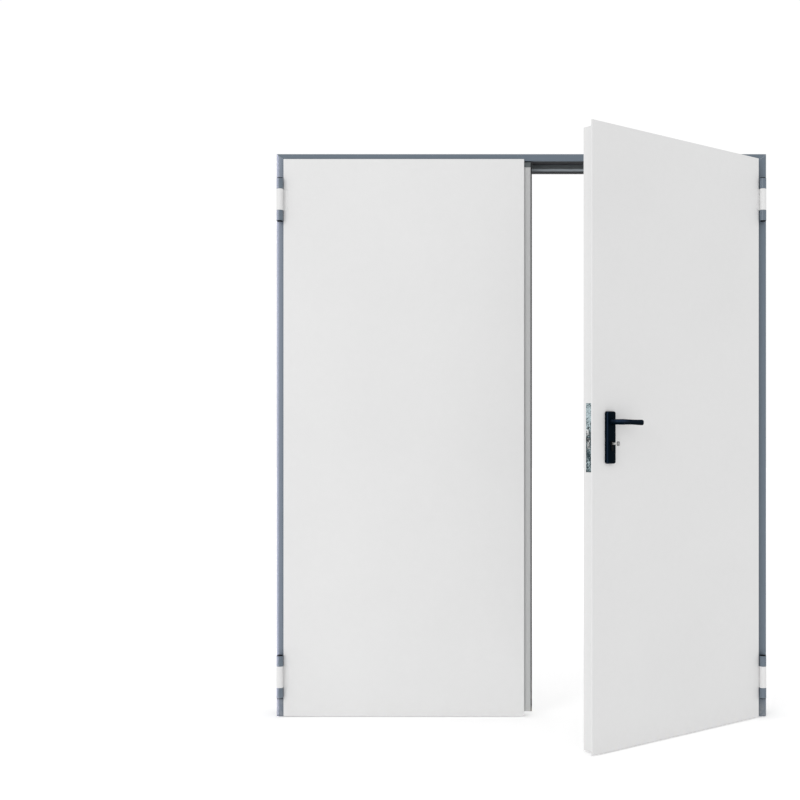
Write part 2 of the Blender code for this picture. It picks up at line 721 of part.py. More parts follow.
def build_active_leaf(axis, paints):
    """The right leaf, with its lock, plates, levers and key."""
    parts = build_shell("active", RIGHT, axis, paints)
    cut_hinge_seats(parts, axis, RIGHT, "right")
    case = build_lock(parts, axis, paints)
    plates = [
        build_plate("plate_front", FACE_V - TOUCH, -1.0, axis, paints),
        build_plate("plate_back", BODY_BACK_V + TOUCH, 1.0, axis, paints),
    ]
    through = (FACE_V - PLATE_PROUD - OVERRUN, BODY_BACK_V + PLATE_PROUD + OVERRUN)
    profile = cylinder_outline(SPINDLE_U, CYLINDER_HEIGHT, TOUCH)
    slot = helper("cylinder_slot", extruded(profile, *through, along="Y"), axis, RIGHT)
    cut(slot, *parts, case, *plates)
    bore_outline = circle((SPINDLE_U, SPINDLE_HEIGHT), SPINDLE_BORE, BORE_SEGMENTS)
    cut(helper("spindle_bore", extruded(bore_outline, *through, along="Y"), axis, RIGHT), *parts, case)
    hub_outline = circle((SPINDLE_U, SPINDLE_HEIGHT), HUB_RADIUS + TOUCH, BORE_SEGMENTS)
    cut(helper("hub_bore", extruded(hub_outline, *through, along="Y"), axis, RIGHT), *plates)
    build_handles(axis, paints)
    build_cylinder(axis, paints)


def build_plate(name, base, outwards, axis, paints):
    """A long cover plate with round corners, flat at its base and rounded over at its front."""
    rim = base + outwards * (PLATE_PROUD - TOUCH - PLATE_EDGE)
    levels = [(0.0, base)]
    for i in range(PLATE_EDGE_STEPS + 1):
        lean = math.pi / 2 * i / PLATE_EDGE_STEPS
        levels.append((PLATE_EDGE * (1.0 - math.cos(lean)), rim + outwards * PLATE_EDGE * math.sin(lean)))
    shape = bmesh.new()
    rings = []
    for inset, v in levels:
        u = (SPINDLE_U - PLATE_WIDTH / 2 + inset, SPINDLE_U + PLATE_WIDTH / 2 - inset)
        z = (PLATE_HEIGHTS[0] + inset, PLATE_HEIGHTS[1] - inset)
        outline = rounded_rectangle(u, z, PLATE_CORNER - inset)
        rings.append([shape.verts.new((x, v, up)) for x, up in outline])
    skin_rings(shape, rings)
    return piece(name, shape, paints["black"], axis, RIGHT)


def build_lock(parts, axis, paints):
    """The lock case behind its forend, the latch and the bolt, each sliding in its own channel."""
    plate_u = (ACTIVE_EDGE_U - FOREND_THICK, ACTIVE_EDGE_U)
    plate_v = (LOCK_DEPTH - FOREND_WIDTH / 2, LOCK_DEPTH + FOREND_WIDTH / 2)
    plate_z = (CASE_HEIGHTS[0] - FOREND_OVER, CASE_HEIGHTS[1] + FOREND_OVER)
    box_u = (SPINDLE_U - CASE_BEHIND, ACTIVE_EDGE_U - FOREND_THICK / 2)
    box_v = (LOCK_DEPTH - CASE_THICK / 2, LOCK_DEPTH + CASE_THICK / 2)
    case = piece("lock_case", block(plate_u, plate_v, plate_z), paints["steel"], axis, RIGHT)
    combine(case, helper("lock_box", block(box_u, box_v, CASE_HEIGHTS), axis, RIGHT))
    tray, infill = parts[1:]
    seats = (
        ("forend_seat", (plate_u[0], plate_u[1] + OVERRUN), plate_v, plate_z),
        ("case_seat", box_u, box_v, CASE_HEIGHTS),
    )
    for name, u, v, z in seats:
        seat = block(*[(low - TOUCH, high + TOUCH) for low, high in (u, v, z)])
        cut(helper(name, seat, axis, RIGHT), tray, infill)
    latch_in = ACTIVE_EDGE_U - LATCH_BODY
    latch_out = ACTIVE_EDGE_U + LATCH_OUT
    front, back = LOCK_DEPTH - LATCH_THICK / 2, LOCK_DEPTH + LATCH_THICK / 2
    nose = [
        (latch_in, front),
        (latch_out, front),
        (latch_out, front + LATCH_TIP),
        (ACTIVE_EDGE_U + LATCH_HEEL, back),
        (latch_in, back),
    ]
    latch_z = (LATCH_HEIGHT - LATCH_TALL / 2, LATCH_HEIGHT + LATCH_TALL / 2)
    piece("latch", extruded(nose, *latch_z), paints["steel"], axis, RIGHT)
    bolt_v = (LOCK_DEPTH - BOLT_THICK / 2, LOCK_DEPTH + BOLT_THICK / 2)
    bolt_z = (CYLINDER_HEIGHT - BOLT_TALL / 2, CYLINDER_HEIGHT + BOLT_TALL / 2)
    bolt_u = (ACTIVE_EDGE_U - BOLT_LENGTH, ACTIVE_EDGE_U)
    piece("deadbolt", block(bolt_u, bolt_v, bolt_z), paints["nickel"], axis, RIGHT)
    channels = (
        ("latch_channel", latch_in - LATCH_OUT - SLIDE_PLAY, (front, back), latch_z),
        ("bolt_channel", bolt_u[0] - SLIDE_PLAY, bolt_v, bolt_z),
    )
    for name, end, v, z in channels:
        outside = ACTIVE_EDGE_U + OVERRUN
        v_wide, z_wide = [(low - SLIDE_PLAY, high + SLIDE_PLAY) for low, high in (v, z)]
        cut(helper(name, block((end, outside), v_wide, z_wide), axis, RIGHT), case)
        v_wide, z_wide = [(low - FOREND_CLEAR, high + FOREND_CLEAR) for low, high in (v, z)]
        window = block((ACTIVE_EDGE_U - FOREND_THICK, outside), v_wide, z_wide)
        cut(helper(f"{name}_window", window, axis, RIGHT), case)
    return case


def build_handles(axis, paints):
    """Two levers on one square spindle; they turn about the lever axis."""
    pivot = axis_empty("lever_axis", (-SPINDLE_U, 0.0, SPINDLE_HEIGHT), axis)
    hub_front = FACE_V - PLATE_PROUD + HUB_SEAT
    hub_back = BODY_BACK_V + PLATE_PROUD - HUB_SEAT
    half = SPINDLE_HALF
    spindle = block((-half, half), (hub_front + TOUCH, hub_back - TOUCH), (-half, half))
    piece("spindle", spindle, paints["steel"], pivot)
    levers = (
        ("lever_front", hub_front, FACE_V - GRIP_OFF, -1.0),
        ("lever_back", hub_back, BODY_BACK_V + GRIP_OFF, 1.0),
    )
    for name, start, grip, outwards in levers:
        piece(name, lever_shape(start, grip, outwards), paints["black"], pivot)


def lever_shape(start, grip, outwards):
    """Sweeps a ring from the round hub through the elbow into the flat grip and closes its tip."""
    neck = (grip - outwards * ELBOW - start) * outwards
    stations = [(0.0, start, 0.0, 0.0), (0.0, start + outwards * (PLATE_PROUD + TOUCH), 0.0, 0.0)]
    for i in range(ELBOW_STEPS + 1):
        turn = math.pi / 2 * i / ELBOW_STEPS
        x = ELBOW * (1.0 - math.cos(turn))
        y = start + outwards * (neck + ELBOW * math.sin(turn))
        flatness = ELBOW_FLATNESS + (1.0 - ELBOW_FLATNESS) * i / ELBOW_STEPS
        stations.append((x, y, turn, flatness))
    run = GRIP_LENGTH - TIP_LONG
    for i in range(1, GRIP_STEPS + 1):
        stations.append((ELBOW + (run - ELBOW) * i / GRIP_STEPS, grip, math.pi / 2, 1.0))
    shape = bmesh.new()
    rings = [lever_ring(shape, *station, outwards, 1.0) for station in stations]
    for i in range(1, TIP_STEPS):
        lean = math.pi / 2 * i / TIP_STEPS
        x = run + TIP_LONG * math.sin(lean)
        rings.append(lever_ring(shape, x, grip, math.pi / 2, 1.0, outwards, math.cos(lean)))
    skin_rings(shape, rings)
    return shape


def lever_ring(shape, x, y, turn, flatness, outwards, shrink):
    """One ring of the lever: round at the hub and a softened flat bar at the grip."""
    tall = HUB_RADIUS + (GRIP_HALF_TALL - HUB_RADIUS) * flatness
    tall *= TIP_TALL + (1.0 - TIP_TALL) * shrink
    thick = HUB_RADIUS + (GRIP_HALF_THICK - HUB_RADIUS) * flatness
    thick *= TIP_THICK + (1.0 - TIP_THICK) * shrink
    power = 1.0 - GRIP_SQUARENESS * flatness
    ring = []
    for i in range(RING_POINTS):
        angle = math.tau * i / RING_POINTS
        across = math.copysign(abs(math.cos(angle)) ** power, math.cos(angle)) * thick
        up = math.copysign(abs(math.sin(angle)) ** power, math.sin(angle)) * tall
        offset_x = across * math.cos(turn)
        offset_y = -across * math.sin(turn) * outwards
        ring.append(shape.verts.new((x + offset_x, y + offset_y, up)))
    return ring


def build_cylinder(axis, paints):
    """The profile cylinder through the leaf, with the plug and the key that turn in it."""
    front = FACE_V - PLATE_PROUD - CYLINDER_PROUD
    back = BODY_BACK_V + PLATE_PROUD + CYLINDER_PROUD
    outline = cylinder_outline(SPINDLE_U, CYLINDER_HEIGHT)
    barrel = piece("cylinder", extruded(outline, front, back, along="Y"), paints["dark"], axis, RIGHT)
    bore_outline = circle((SPINDLE_U, CYLINDER_HEIGHT), PLUG_RADIUS + PLAY, HINGE_SEGMENTS)
    bore = extruded(bore_outline, front - OVERRUN, front + PLUG_LENGTH + TOUCH, along="Y")
    cut(helper("plug_bore", bore, axis, RIGHT), barrel)
    pivot = axis_empty("key_axis", (-SPINDLE_U, 0.0, CYLINDER_HEIGHT), axis)
    plug_outline = circle((0.0, 0.0), PLUG_RADIUS, HINGE_SEGMENTS)
    piece("plug", extruded(plug_outline, front, front + PLUG_LENGTH, along="Y"), paints["dark"], pivot)
    tip = FACE_V - KEY_REACH
    neck = tip + KEY_BOW_LONG
    shank = KEY_SHANK / 2
    corner = KEY_BOW_CORNER
    outline = [
        (front - TOUCH, -shank),
        (front - TOUCH, shank),
        (neck + corner, shank),
        (neck, KEY_BOW_TALL / 2),
        (tip + corner, KEY_BOW_TALL / 2),
        (tip, KEY_BOW_TALL / 2 - corner),
        (tip, corner - KEY_BOW_TALL / 2),
        (tip + corner, -KEY_BOW_TALL / 2),
        (neck, -KEY_BOW_TALL / 2),
        (neck + corner, -shank),
    ]
    piece("key", extruded(outline, -KEY_THICK / 2, KEY_THICK / 2, along="X"), paints["nickel"], pivot)


def build():
    """The whole door set."""
    clear_scene()
    paints = {
        "leaf": paint("leaf_paint", (0.80, 0.81, 0.81), 0.45, 0.0),
        "frame": paint("frame_paint", (0.14, 0.17, 0.21), 0.40, 0.0),
        "black": paint("black_plastic", (0.012, 0.013, 0.016), 0.35, 0.0),
        "dark": paint("black_metal", (0.015, 0.015, 0.018), 0.40, 0.0),
        "seal": paint("seal_rubber", (0.02, 0.02, 0.022), 0.80, 0.0),
        "steel": paint("lock_steel", (0.52, 0.56, 0.60), 0.38, 1.0),
        "nickel": paint("key_nickel", (0.70, 0.70, 0.68), 0.25, 1.0),
        "zinc": paint("anchor_zinc", (0.45, 0.47, 0.48), 0.50, 1.0),
        "wool": paint("mineral_wool", (0.55, 0.50, 0.38), 0.95, 0.0),
    }
    root = axis_empty("door_set", (0.0, 0.0, -ORIGIN_HEIGHT))
    build_frame(root, paints)
    passive_axis = axis_empty("passive_axis", (-AXIS_X, AXIS_Y, 0.0), root)
    active_axis = axis_empty("active_axis", (AXIS_X, AXIS_Y, 0.0), root, AJAR)
    build_hinges(root, passive_axis, "left", LEFT, paints)
    build_hinges(root, active_axis, "right", RIGHT, paints)
    build_passive_leaf(passive_axis, paints)
    build_active_leaf(active_axis, paints)


build()
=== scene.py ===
"""Looks for a pair of steel fire doors: powder-coated leaves in a blue-grey frame, a nylon lever set
with its key, a galvanised lock and the small fittings that go with them.

Leaf fittings are worked out in (u, v, z): u from the hinge axis towards the leaf's free edge, v from that
axis into the wall, z above the floor. The passive leaf is hung on the left, the active one on the right.
"""

import json
import math

import bmesh
import bpy
import numpy as np
from mathutils import Matrix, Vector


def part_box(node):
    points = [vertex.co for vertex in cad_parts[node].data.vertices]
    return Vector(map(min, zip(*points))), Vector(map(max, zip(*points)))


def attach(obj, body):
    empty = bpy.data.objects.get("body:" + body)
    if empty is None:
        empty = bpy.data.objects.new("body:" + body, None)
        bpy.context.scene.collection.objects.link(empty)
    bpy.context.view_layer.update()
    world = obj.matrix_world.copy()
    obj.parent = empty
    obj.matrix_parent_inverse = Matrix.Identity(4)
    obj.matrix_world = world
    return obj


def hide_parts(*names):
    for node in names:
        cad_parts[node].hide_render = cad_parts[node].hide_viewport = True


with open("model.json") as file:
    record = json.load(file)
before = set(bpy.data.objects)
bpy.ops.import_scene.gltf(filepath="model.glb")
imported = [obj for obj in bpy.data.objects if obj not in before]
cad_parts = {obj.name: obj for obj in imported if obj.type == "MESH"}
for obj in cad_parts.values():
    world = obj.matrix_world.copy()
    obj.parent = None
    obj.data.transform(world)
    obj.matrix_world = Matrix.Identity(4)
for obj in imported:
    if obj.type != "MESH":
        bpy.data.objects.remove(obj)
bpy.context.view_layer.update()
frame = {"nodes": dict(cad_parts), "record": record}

# Where the doors stand, in metres
FLOOR = -2.1085
AXIS_X = 0.907
AXIS_Y = -0.023
AJAR = math.radians(41.4)

# Leaf sections
FACE_V = 0.010
BACK_V = 0.080
BODY_EDGE_U = 0.024
PASSIVE_EDGE_U = 0.9415
ACTIVE_EDGE_U = 0.860790
LOCK_V = 0.0565
HINGE_HEIGHTS = (0.153, 1.945)

# Frame section, from the middle of the opening
STOP_DEEP = 0.028
SEAL_GAP = 0.001  # between the head's seal and the soffit
REVEAL_X = 0.888
STOP_X = 0.860
SIDE_RAIL_X = (0.8608, 0.8725)
RAIL_PROUD = 0.0012

# Lock and handle set
SPINDLE_U = 0.810790
SPINDLE_Z = 1.103
CYLINDER_Z = 1.031
PLATE_PROUD = 0.0135
PLATE_EDGE = 0.005
PLATE_Z = (0.964, 1.1385)
FOREND_Z = (0.9355, 1.1655)
STRIKE_Z = (0.9855, 1.103)
FLUSH_Z = 1.700
# Heights over which the lock's zinc turns from darker below to lighter above
DARKER_BELOW_Z = (1.035, 1.085)
# Height round which black blots paint the shade of the latch's pocket
LATCH_SHADE_Z = 1.064
LEVER_START = 0.008
LEVER_OFF = 0.048
LEVER_LONG = 0.1155
LEVER_TIP = 0.009
KEY_BOW = (-0.03325, 0.00675, 0.00775)  # middle v, half long, half tall
CYLINDER_FRONT_V = -0.0065
SCREW_SUNK = 0.0022


# Surfaces


def skin(points, wrap=True, caps=True):
    """Quads over a grid of points, as vertex and face arrays.

    Rows follow the piece and columns run round it. With wrap the last column meets the first. Each cap is a
    fan from the mean of its end ring.
    """
    rows, cols = points.shape[:2]
    index = np.arange(rows * cols).reshape(rows, cols)
    beside = np.roll(index, -1, axis=1) if wrap else index[:, 1:]
    here = index if wrap else index[:, :-1]
    quads = np.stack([here[:-1], beside[:-1], beside[1:], here[1:]], axis=-1).reshape(-1, 4)
    verts = points.reshape(-1, 3)
    fans = np.empty((0, 3), int)
    if caps:
        centres = np.array([points[0].mean(axis=0), points[-1].mean(axis=0)])
        first = np.stack([beside[0], here[0], np.full(len(here[0]), len(verts))], axis=-1)
        last = np.stack([here[-1], beside[-1], np.full(len(here[-1]), len(verts) + 1)], axis=-1)
        verts = np.concatenate([verts, centres])
        fans = np.concatenate([first, last])
    return verts, quads, fans


def joined(*parts):
    """Several skins as one set of arrays, each one's faces counted on from the vertices before it."""
    starts = np.cumsum([0] + [len(verts) for verts, quads, fans in parts[:-1]])
    verts = np.concatenate([part[0] for part in parts])
    quads = np.concatenate([part[1] + start for part, start in zip(parts, starts)])
    fans = np.concatenate([part[2] + start for part, start in zip(parts, starts)])
    return verts, quads, fans


def made(name, body, slot, finish, arrays, sharp=35.0, stands_for=()):
    """A piece from a skin's arrays: merged, turned outwards, shaded smooth up to the sharp angle."""
    verts, quads, fans = arrays
    mesh = bpy.data.meshes.new(name)
    mesh.from_pydata(verts.tolist(), [], quads.tolist() + fans.tolist())
    shape = bmesh.new()
    shape.from_mesh(mesh)
    bmesh.ops.remove_doubles(shape, verts=shape.verts, dist=1e-6)
    bmesh.ops.recalc_face_normals(shape, faces=shape.faces)
    shape.to_mesh(mesh)
    shape.free()
    return dressed(name, mesh, body, slot, finish, sharp, stands_for)


def dressed(name, mesh, body, slot, finish, sharp, stands_for):
    """Links a mesh as a finished piece that rides on a body."""
    mesh.shade_smooth()
    mesh.set_sharp_from_angle(angle=math.radians(sharp))
    mesh.materials.clear()
    mesh.materials.append(finish)
    obj = bpy.data.objects.new(name, mesh)
    bpy.context.scene.collection.objects.link(obj)
    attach(obj, body)
    if stands_for:
        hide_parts(*stands_for)
    return obj


def softened(node, name, body, slot, finish, bevel, sharp=32.0):
    """A merged copy of a CAD node with its flat faces joined and its sharp edges broken."""
    mesh = frame["nodes"][node].data.copy()
    mesh.name = name
    shape = bmesh.new()
    shape.from_mesh(mesh)
    bmesh.ops.remove_doubles(shape, verts=shape.verts, dist=1e-6)
    bmesh.ops.dissolve_limit(
        shape, angle_limit=math.radians(0.5), verts=shape.verts, edges=shape.edges
    )
    shape.to_mesh(mesh)
    shape.free()
    obj = dressed(name, mesh, body, slot, finish, sharp, (node,))
    if bevel:
        step = obj.modifiers.new("broken_edges", "BEVEL")
        step.width = bevel
        step.segments = 2
        step.limit_method = "ANGLE"
        step.angle_limit = math.radians(sharp)
        step.harden_normals = True
    return obj


def on_passive(points):
    """(u, v, z) of the passive leaf to the row frame: u runs along +X from the left hinge axis."""
    return np.asarray(points, float) + [-AXIS_X, AXIS_Y, FLOOR]


def on_active(points):
    """(u, v, z) of the active leaf to the row frame: u runs along -X, turned about the right hinge axis."""
    u, v, z = np.moveaxis(np.asarray(points, float), -1, 0)
    x = AXIS_X - u * math.cos(AJAR) - v * math.sin(AJAR)
    y = AXIS_Y - u * math.sin(AJAR) + v * math.cos(AJAR)
    return np.stack([x, y, z + FLOOR], axis=-1)


def off_active(points):
    """The row frame back to the active leaf's (u, v, z)."""
    x, y, z = np.moveaxis(points - [AXIS_X, AXIS_Y, FLOOR], -1, 0)
    u = -x * math.cos(AJAR) - y * math.sin(AJAR)
    v = -x * math.sin(AJAR) + y * math.cos(AJAR)
    return u, v, z


def painted_highlight(piece, share):
    """Writes a painted highlight share for each vertex, from 0 to 1, as an attribute that its finish reads;
    the finish also lowers the roughness a little there.
    """
    mesh = piece.data
    flat = np.empty(len(mesh.vertices) * 3)
    mesh.vertices.foreach_get("co", flat)
    amount = share(*off_active(flat.reshape(-1, 3)))
    mesh.attributes.new("painted_highlight", "FLOAT", "POINT").data.foreach_set("value", amount.astype(np.float32))


def on_spindle_line(rings, v, z, outwards):
    """Stands rings of (across, up, out) on the active leaf, on the upright line through its spindle."""
    return on_active(set_in(rings, (SPINDLE_U, v, z), (1, 0, 0), (0, 0, 1), (0, outwards, 0)))


def ring_angles(count):
    """Angles round a full circle, without the last."""
    return np.linspace(0.0, math.tau, count, endpoint=False)


def lathe(profile, count):
    """A profile of (radius, height) turned about the height: each ring is radius times cosine and sine."""
    profile = np.asarray(profile, float)
    angle = ring_angles(count)
    rings = np.empty((len(profile), count, 3))
    rings[..., 0] = profile[:, :1] * np.cos(angle)
    rings[..., 1] = profile[:, :1] * np.sin(angle)
    rings[..., 2] = profile[:, 1:]
    return rings


def set_in(points, origin, across, up, out):
    """Places local (across, up, out) points by three directions from an origin."""
    return np.asarray(origin, float) + points @ np.array([across, up, out], float)


def superellipse(count, half_a, half_b, power):
    """A ring whose two coordinates are cosine and sine raised to a power with their signs kept."""
    angle = ring_angles(count)
    a = np.sign(np.cos(angle)) * np.abs(np.cos(angle)) ** power
    b = np.sign(np.sin(angle)) * np.abs(np.sin(angle)) ** power
    return half_a * a, half_b * b


def ease(values, low, high):
    """Goes from 0 at low to 1 at high with a smooth start and end."""
    t = np.clip((values - low) / (high - low), 0.0, 1.0)
    return t * t * (3.0 - 2.0 * t)


# Node building


class Wiring:
    """Adds nodes to one tree; a value is a number, a colour or another node's output."""

    def __init__(self, tree):
        self.tree = tree

    def node(self, kind, settings=(), **inputs):
        """A node with its settings, and its inputs fed by name."""
        made_node = self.tree.nodes.new(kind)
        for name, value in dict(settings).items():
            setattr(made_node, name, value)
        for name, value in inputs.items():
            self.feed(made_node.inputs[name.replace("_", " ")], value)
        return made_node

    def feed(self, socket, value):
        """Links an output to a socket, or sets the socket's own value."""
        if isinstance(value, bpy.types.NodeSocket):
            self.tree.links.new(value, socket)
        else:
            socket.default_value = value

    def maths(self, operation, first, second=0.0, clamp=False):
        """The result of one sum."""
        step = self.tree.nodes.new("ShaderNodeMath")
        step.operation = operation
        step.use_clamp = clamp
        self.feed(step.inputs[0], first)
        self.feed(step.inputs[1], second)
        return step.outputs[0]

    def span(self, value, low, high, start=0.0, end=1.0):
        """Goes smoothly from start to end while the value goes from low to high."""
        step = self.node("ShaderNodeMapRange", {"interpolation_type": "SMOOTHSTEP"})
        for name, given in (("Value", value), ("From Min", low), ("From Max", high)):
            self.feed(step.inputs[name], given)
        self.feed(step.inputs["To Min"], start)
        self.feed(step.inputs["To Max"], end)
        return step.outputs["Result"]

    def mixed(self, share, first, second, how="MIX"):
        """Two colours mixed by a share."""
        step = self.node("ShaderNodeMix", {"data_type": "RGBA", "blend_type": how})
        self.feed(step.inputs[0], share)
        self.feed(step.inputs[6], first)
        self.feed(step.inputs[7], second)
        return step.outputs[2]

    def noise(self, vector, scale, detail=3.0, rough=0.55):
        """A cloudy value from 0 to 1."""
        step = self.node("ShaderNodeTexNoise", Scale=scale, Detail=detail, Roughness=rough)
        self.feed(step.inputs["Vector"], vector)
        return step.outputs["Fac"]

    def stretched(self, vector, scale):
        """A place whose three directions are each scaled."""
        step = self.node("ShaderNodeMapping", Scale=scale)
        self.feed(step.inputs["Vector"], vector)
        return step.outputs["Vector"]

    def place(self):
        """The place on the piece, in the piece's own coordinates."""
        return self.node("ShaderNodeTexCoord").outputs["Object"]

    def up(self, vector):
        """The height of a place."""
        step = self.node("ShaderNodeSeparateXYZ")
        self.feed(step.inputs[0], vector)
        return step.outputs["Z"]


def effect(name, inputs, outputs):
    """A node group with named sockets; returns the tree, its wiring, its inputs and its output node."""
    tree = bpy.data.node_groups.new(name, "ShaderNodeTree")
    kinds = {float: "NodeSocketFloat", tuple: "NodeSocketColor"}
    for label, value in inputs:
        socket = tree.interface.new_socket(label, in_out="INPUT", socket_type=kinds[type(value)])
        socket.default_value = value
    for label, kind in outputs:
        tree.interface.new_socket(label, in_out="OUTPUT", socket_type=kinds[kind])
    wiring = Wiring(tree)
    given = tree.nodes.new("NodeGroupInput").outputs
    result = tree.nodes.new("NodeGroupOutput").inputs
    return tree, wiring, given, result


def edge_wear_effect():
    """Mask of worn edges: where the rounded normal leaves the true one, broken up by a noise."""
    inputs = [("Radius", 0.0015), ("Amount", 0.5), ("Breakup Scale", 60.0)]
    tree, w, given, result = effect("edge_wear", inputs, [("Mask", float)])
    rounded = w.node("ShaderNodeBevel", {"samples": 4}, Radius=given["Radius"]).outputs["Normal"]
    true = w.node("ShaderNodeNewGeometry").outputs["Normal"]
    match = w.node("ShaderNodeVectorMath", {"operation": "DOT_PRODUCT"})
    w.feed(match.inputs[0], rounded)
    w.feed(match.inputs[1], true)
    bend = w.span(w.maths("SUBTRACT", 1.0, match.outputs["Value"]), 0.01, 0.16)
    breakup = w.span(w.noise(w.place(), given["Breakup Scale"], 4.0), 0.35, 0.62, 0.25, 1.0)
    worn_and_highlit = w.maths("MULTIPLY", w.maths("MULTIPLY", bend, breakup), given["Amount"], clamp=True)
    w.feed(result["Mask"], worn_and_highlit)
    return tree


def coat_grain_effect():
    """Height of a sprayed coat: broad orange peel under a fine dry grain, and a roughness drift."""
    inputs = [("Peel Scale", 260.0), ("Grain Scale", 1500.0), ("Grain Share", 0.35), ("Roughness", 0.45),
              ("Roughness Drift", 0.06)]
    tree, w, given, result = effect("coat_grain", inputs, [("Height", float), ("Roughness", float)])
    place = w.place()
    peel = w.noise(place, given["Peel Scale"], 2.0, 0.4)
    grain = w.noise(place, given["Grain Scale"], 2.0, 0.6)
    height = w.maths("ADD", peel, w.maths("MULTIPLY", grain, given["Grain Share"]))
    drift = w.maths("SUBTRACT", w.noise(place, 5.0, 5.0, 0.6), 0.5)
    smear = w.maths("SUBTRACT", w.noise(w.stretched(place, (9.0, 9.0, 1.6)), 3.0, 4.0), 0.5)
    moved = w.maths("MULTIPLY", w.maths("ADD", drift, smear), given["Roughness Drift"])
    w.feed(result["Height"], height)
    w.feed(result["Roughness"], w.maths("ADD", given["Roughness"], moved, clamp=True))
    return tree


def tone_effect():
    """Colour that drifts a little over the surface and takes floor dust at its foot."""
    inputs = [("Colour", (0.8, 0.8, 0.8, 1.0)), ("Drift", 0.03), ("Dust Colour", (0.52, 0.49, 0.44, 1.0)),
              ("Dust", 0.25), ("Dust Height", 0.10)]
    tree, w, given, result = effect("tone", inputs, [("Colour", tuple), ("Dust", float)])
    place = w.place()
    patches = w.maths("SUBTRACT", w.noise(place, 2.2, 5.0, 0.55), 0.5)
    fine = w.maths("SUBTRACT", w.noise(place, 45.0, 3.0, 0.5), 0.5)
    sway = w.maths("ADD", patches, w.maths("MULTIPLY", fine, 0.4))
    gain = w.maths("ADD", 1.0, w.maths("MULTIPLY", w.maths("MULTIPLY", sway, 2.0), given["Drift"]))
    shade = w.node("ShaderNodeCombineColor", Red=gain, Green=gain, Blue=gain).outputs[0]
    toned = w.mixed(1.0, given["Colour"], shade, "MULTIPLY")
    height = w.maths("SUBTRACT", w.up(place), FLOOR)
    low = w.span(height, 0.0, given["Dust Height"], 1.0, 0.0)
    specks = w.span(w.noise(place, 28.0, 6.0, 0.65), 0.38, 0.66)
    dust = w.maths("MULTIPLY", w.maths("MULTIPLY", low, specks), given["Dust"], clamp=True)
    w.feed(result["Colour"], w.mixed(dust, toned, given["Dust Colour"]))
    w.feed(result["Dust"], dust)
    return tree


def spangle_effect():
    """Zinc crystals: cells of two sizes, each with its own tone, and fine scratches across them."""
    inputs = [("Dark", (0.30, 0.35, 0.38, 1.0)), ("Light", (0.75, 0.82, 0.86, 1.0)), ("Cell Scale", 330.0),
              ("Roughness", 0.36), ("Shift", 0.0)]
    outputs = [("Colour", tuple), ("Roughness", float), ("Height", float)]
    tree, w, given, result = effect("spangle", inputs, outputs)
    place = w.place()
    bent = w.node("ShaderNodeVectorMath", {"operation": "MULTIPLY_ADD"})
    swirl = w.node("ShaderNodeTexNoise", Scale=90.0, Detail=3.0)
    w.feed(swirl.inputs["Vector"], place)
    w.feed(bent.inputs[0], swirl.outputs["Color"])
    w.feed(bent.inputs[1], (0.006, 0.006, 0.006))
    w.feed(bent.inputs[2], place)
    cells = w.node("ShaderNodeTexVoronoi", Scale=given["Cell Scale"])
    w.feed(cells.inputs["Vector"], bent.outputs[0])
    small = w.node("ShaderNodeTexVoronoi", Scale=w.maths("MULTIPLY", given["Cell Scale"], 2.6))
    w.feed(small.inputs["Vector"], bent.outputs[0])
    tones = [w.node("ShaderNodeSeparateColor", Color=c.outputs["Color"]).outputs[0] for c in (cells, small)]
    tone = w.maths("ADD", w.maths("MULTIPLY", tones[0], 0.62), w.maths("MULTIPLY", tones[1], 0.38))
    patches = w.span(w.noise(place, 34.0, 4.0), 0.32, 0.68, -0.22, 0.22)
    tone = w.span(w.maths("ADD", w.maths("ADD", tone, patches), given["Shift"]), 0.12, 0.88)
    w.feed(result["Colour"], w.mixed(tone, given["Dark"], given["Light"]))
    rough = w.maths("ADD", given["Roughness"], w.maths("MULTIPLY", w.maths("SUBTRACT", tone, 0.5), -0.22))
    w.feed(result["Roughness"], rough)
    w.feed(result["Height"], w.maths("ADD", tone, w.noise(place, 1400.0, 2.0)))
    return tree


def brushed_effect():
    """Fine lines drawn out along one direction, for metal that was ground or turned."""
    inputs = [("Roughness", 0.25), ("Spread", 0.12), ("Fineness", 900.0)]
    tree, w, given, result = effect("brushed", inputs, [("Roughness", float), ("Height", float)])
    place = w.place()
    lines = w.noise(w.stretched(place, (1.0, 1.0, 0.05)), given["Fineness"], 3.0, 0.6)
    marks = w.noise(place, 160.0, 4.0, 0.6)
    sway = w.maths("MULTIPLY", w.maths("SUBTRACT", w.maths("ADD", lines, marks), 1.0), given["Spread"])
    w.feed(result["Roughness"], w.maths("ADD", given["Roughness"], sway, clamp=True))
    w.feed(result["Height"], lines)
    return tree


EFFECTS = {
    "edge_wear": edge_wear_effect(),
    "coat_grain": coat_grain_effect(),
    "tone": tone_effect(),
    "spangle": spangle_effect(),
    "brushed": brushed_effect(),
}


def finish_start(name, **sockets):
    """A material with its Principled shader's own sockets set; returns it, its wiring and the shader."""
    material = bpy.data.materials.new(name)
    material.use_nodes = True
    shader = material.node_tree.nodes["Principled BSDF"]
    for label, value in sockets.items():
        shader.inputs[label.replace("_", " ")].default_value = value
    return material, Wiring(material.node_tree), shader


def use(w, effect_name, **values):
    """Places an effect in a material with this material's own values."""
    step = w.tree.nodes.new("ShaderNodeGroup")
    step.node_tree = EFFECTS[effect_name]
    for label, value in values.items():
        w.feed(step.inputs[label.replace("_", " ")], value)
    return step.outputs


def raised(w, shader, height, strength, distance):
    """Feeds a height to the shader's normal."""
    bump = w.node("ShaderNodeBump", Strength=strength, Distance=distance)
    w.feed(bump.inputs["Height"], height)
    w.feed(shader.inputs["Normal"], bump.outputs["Normal"])


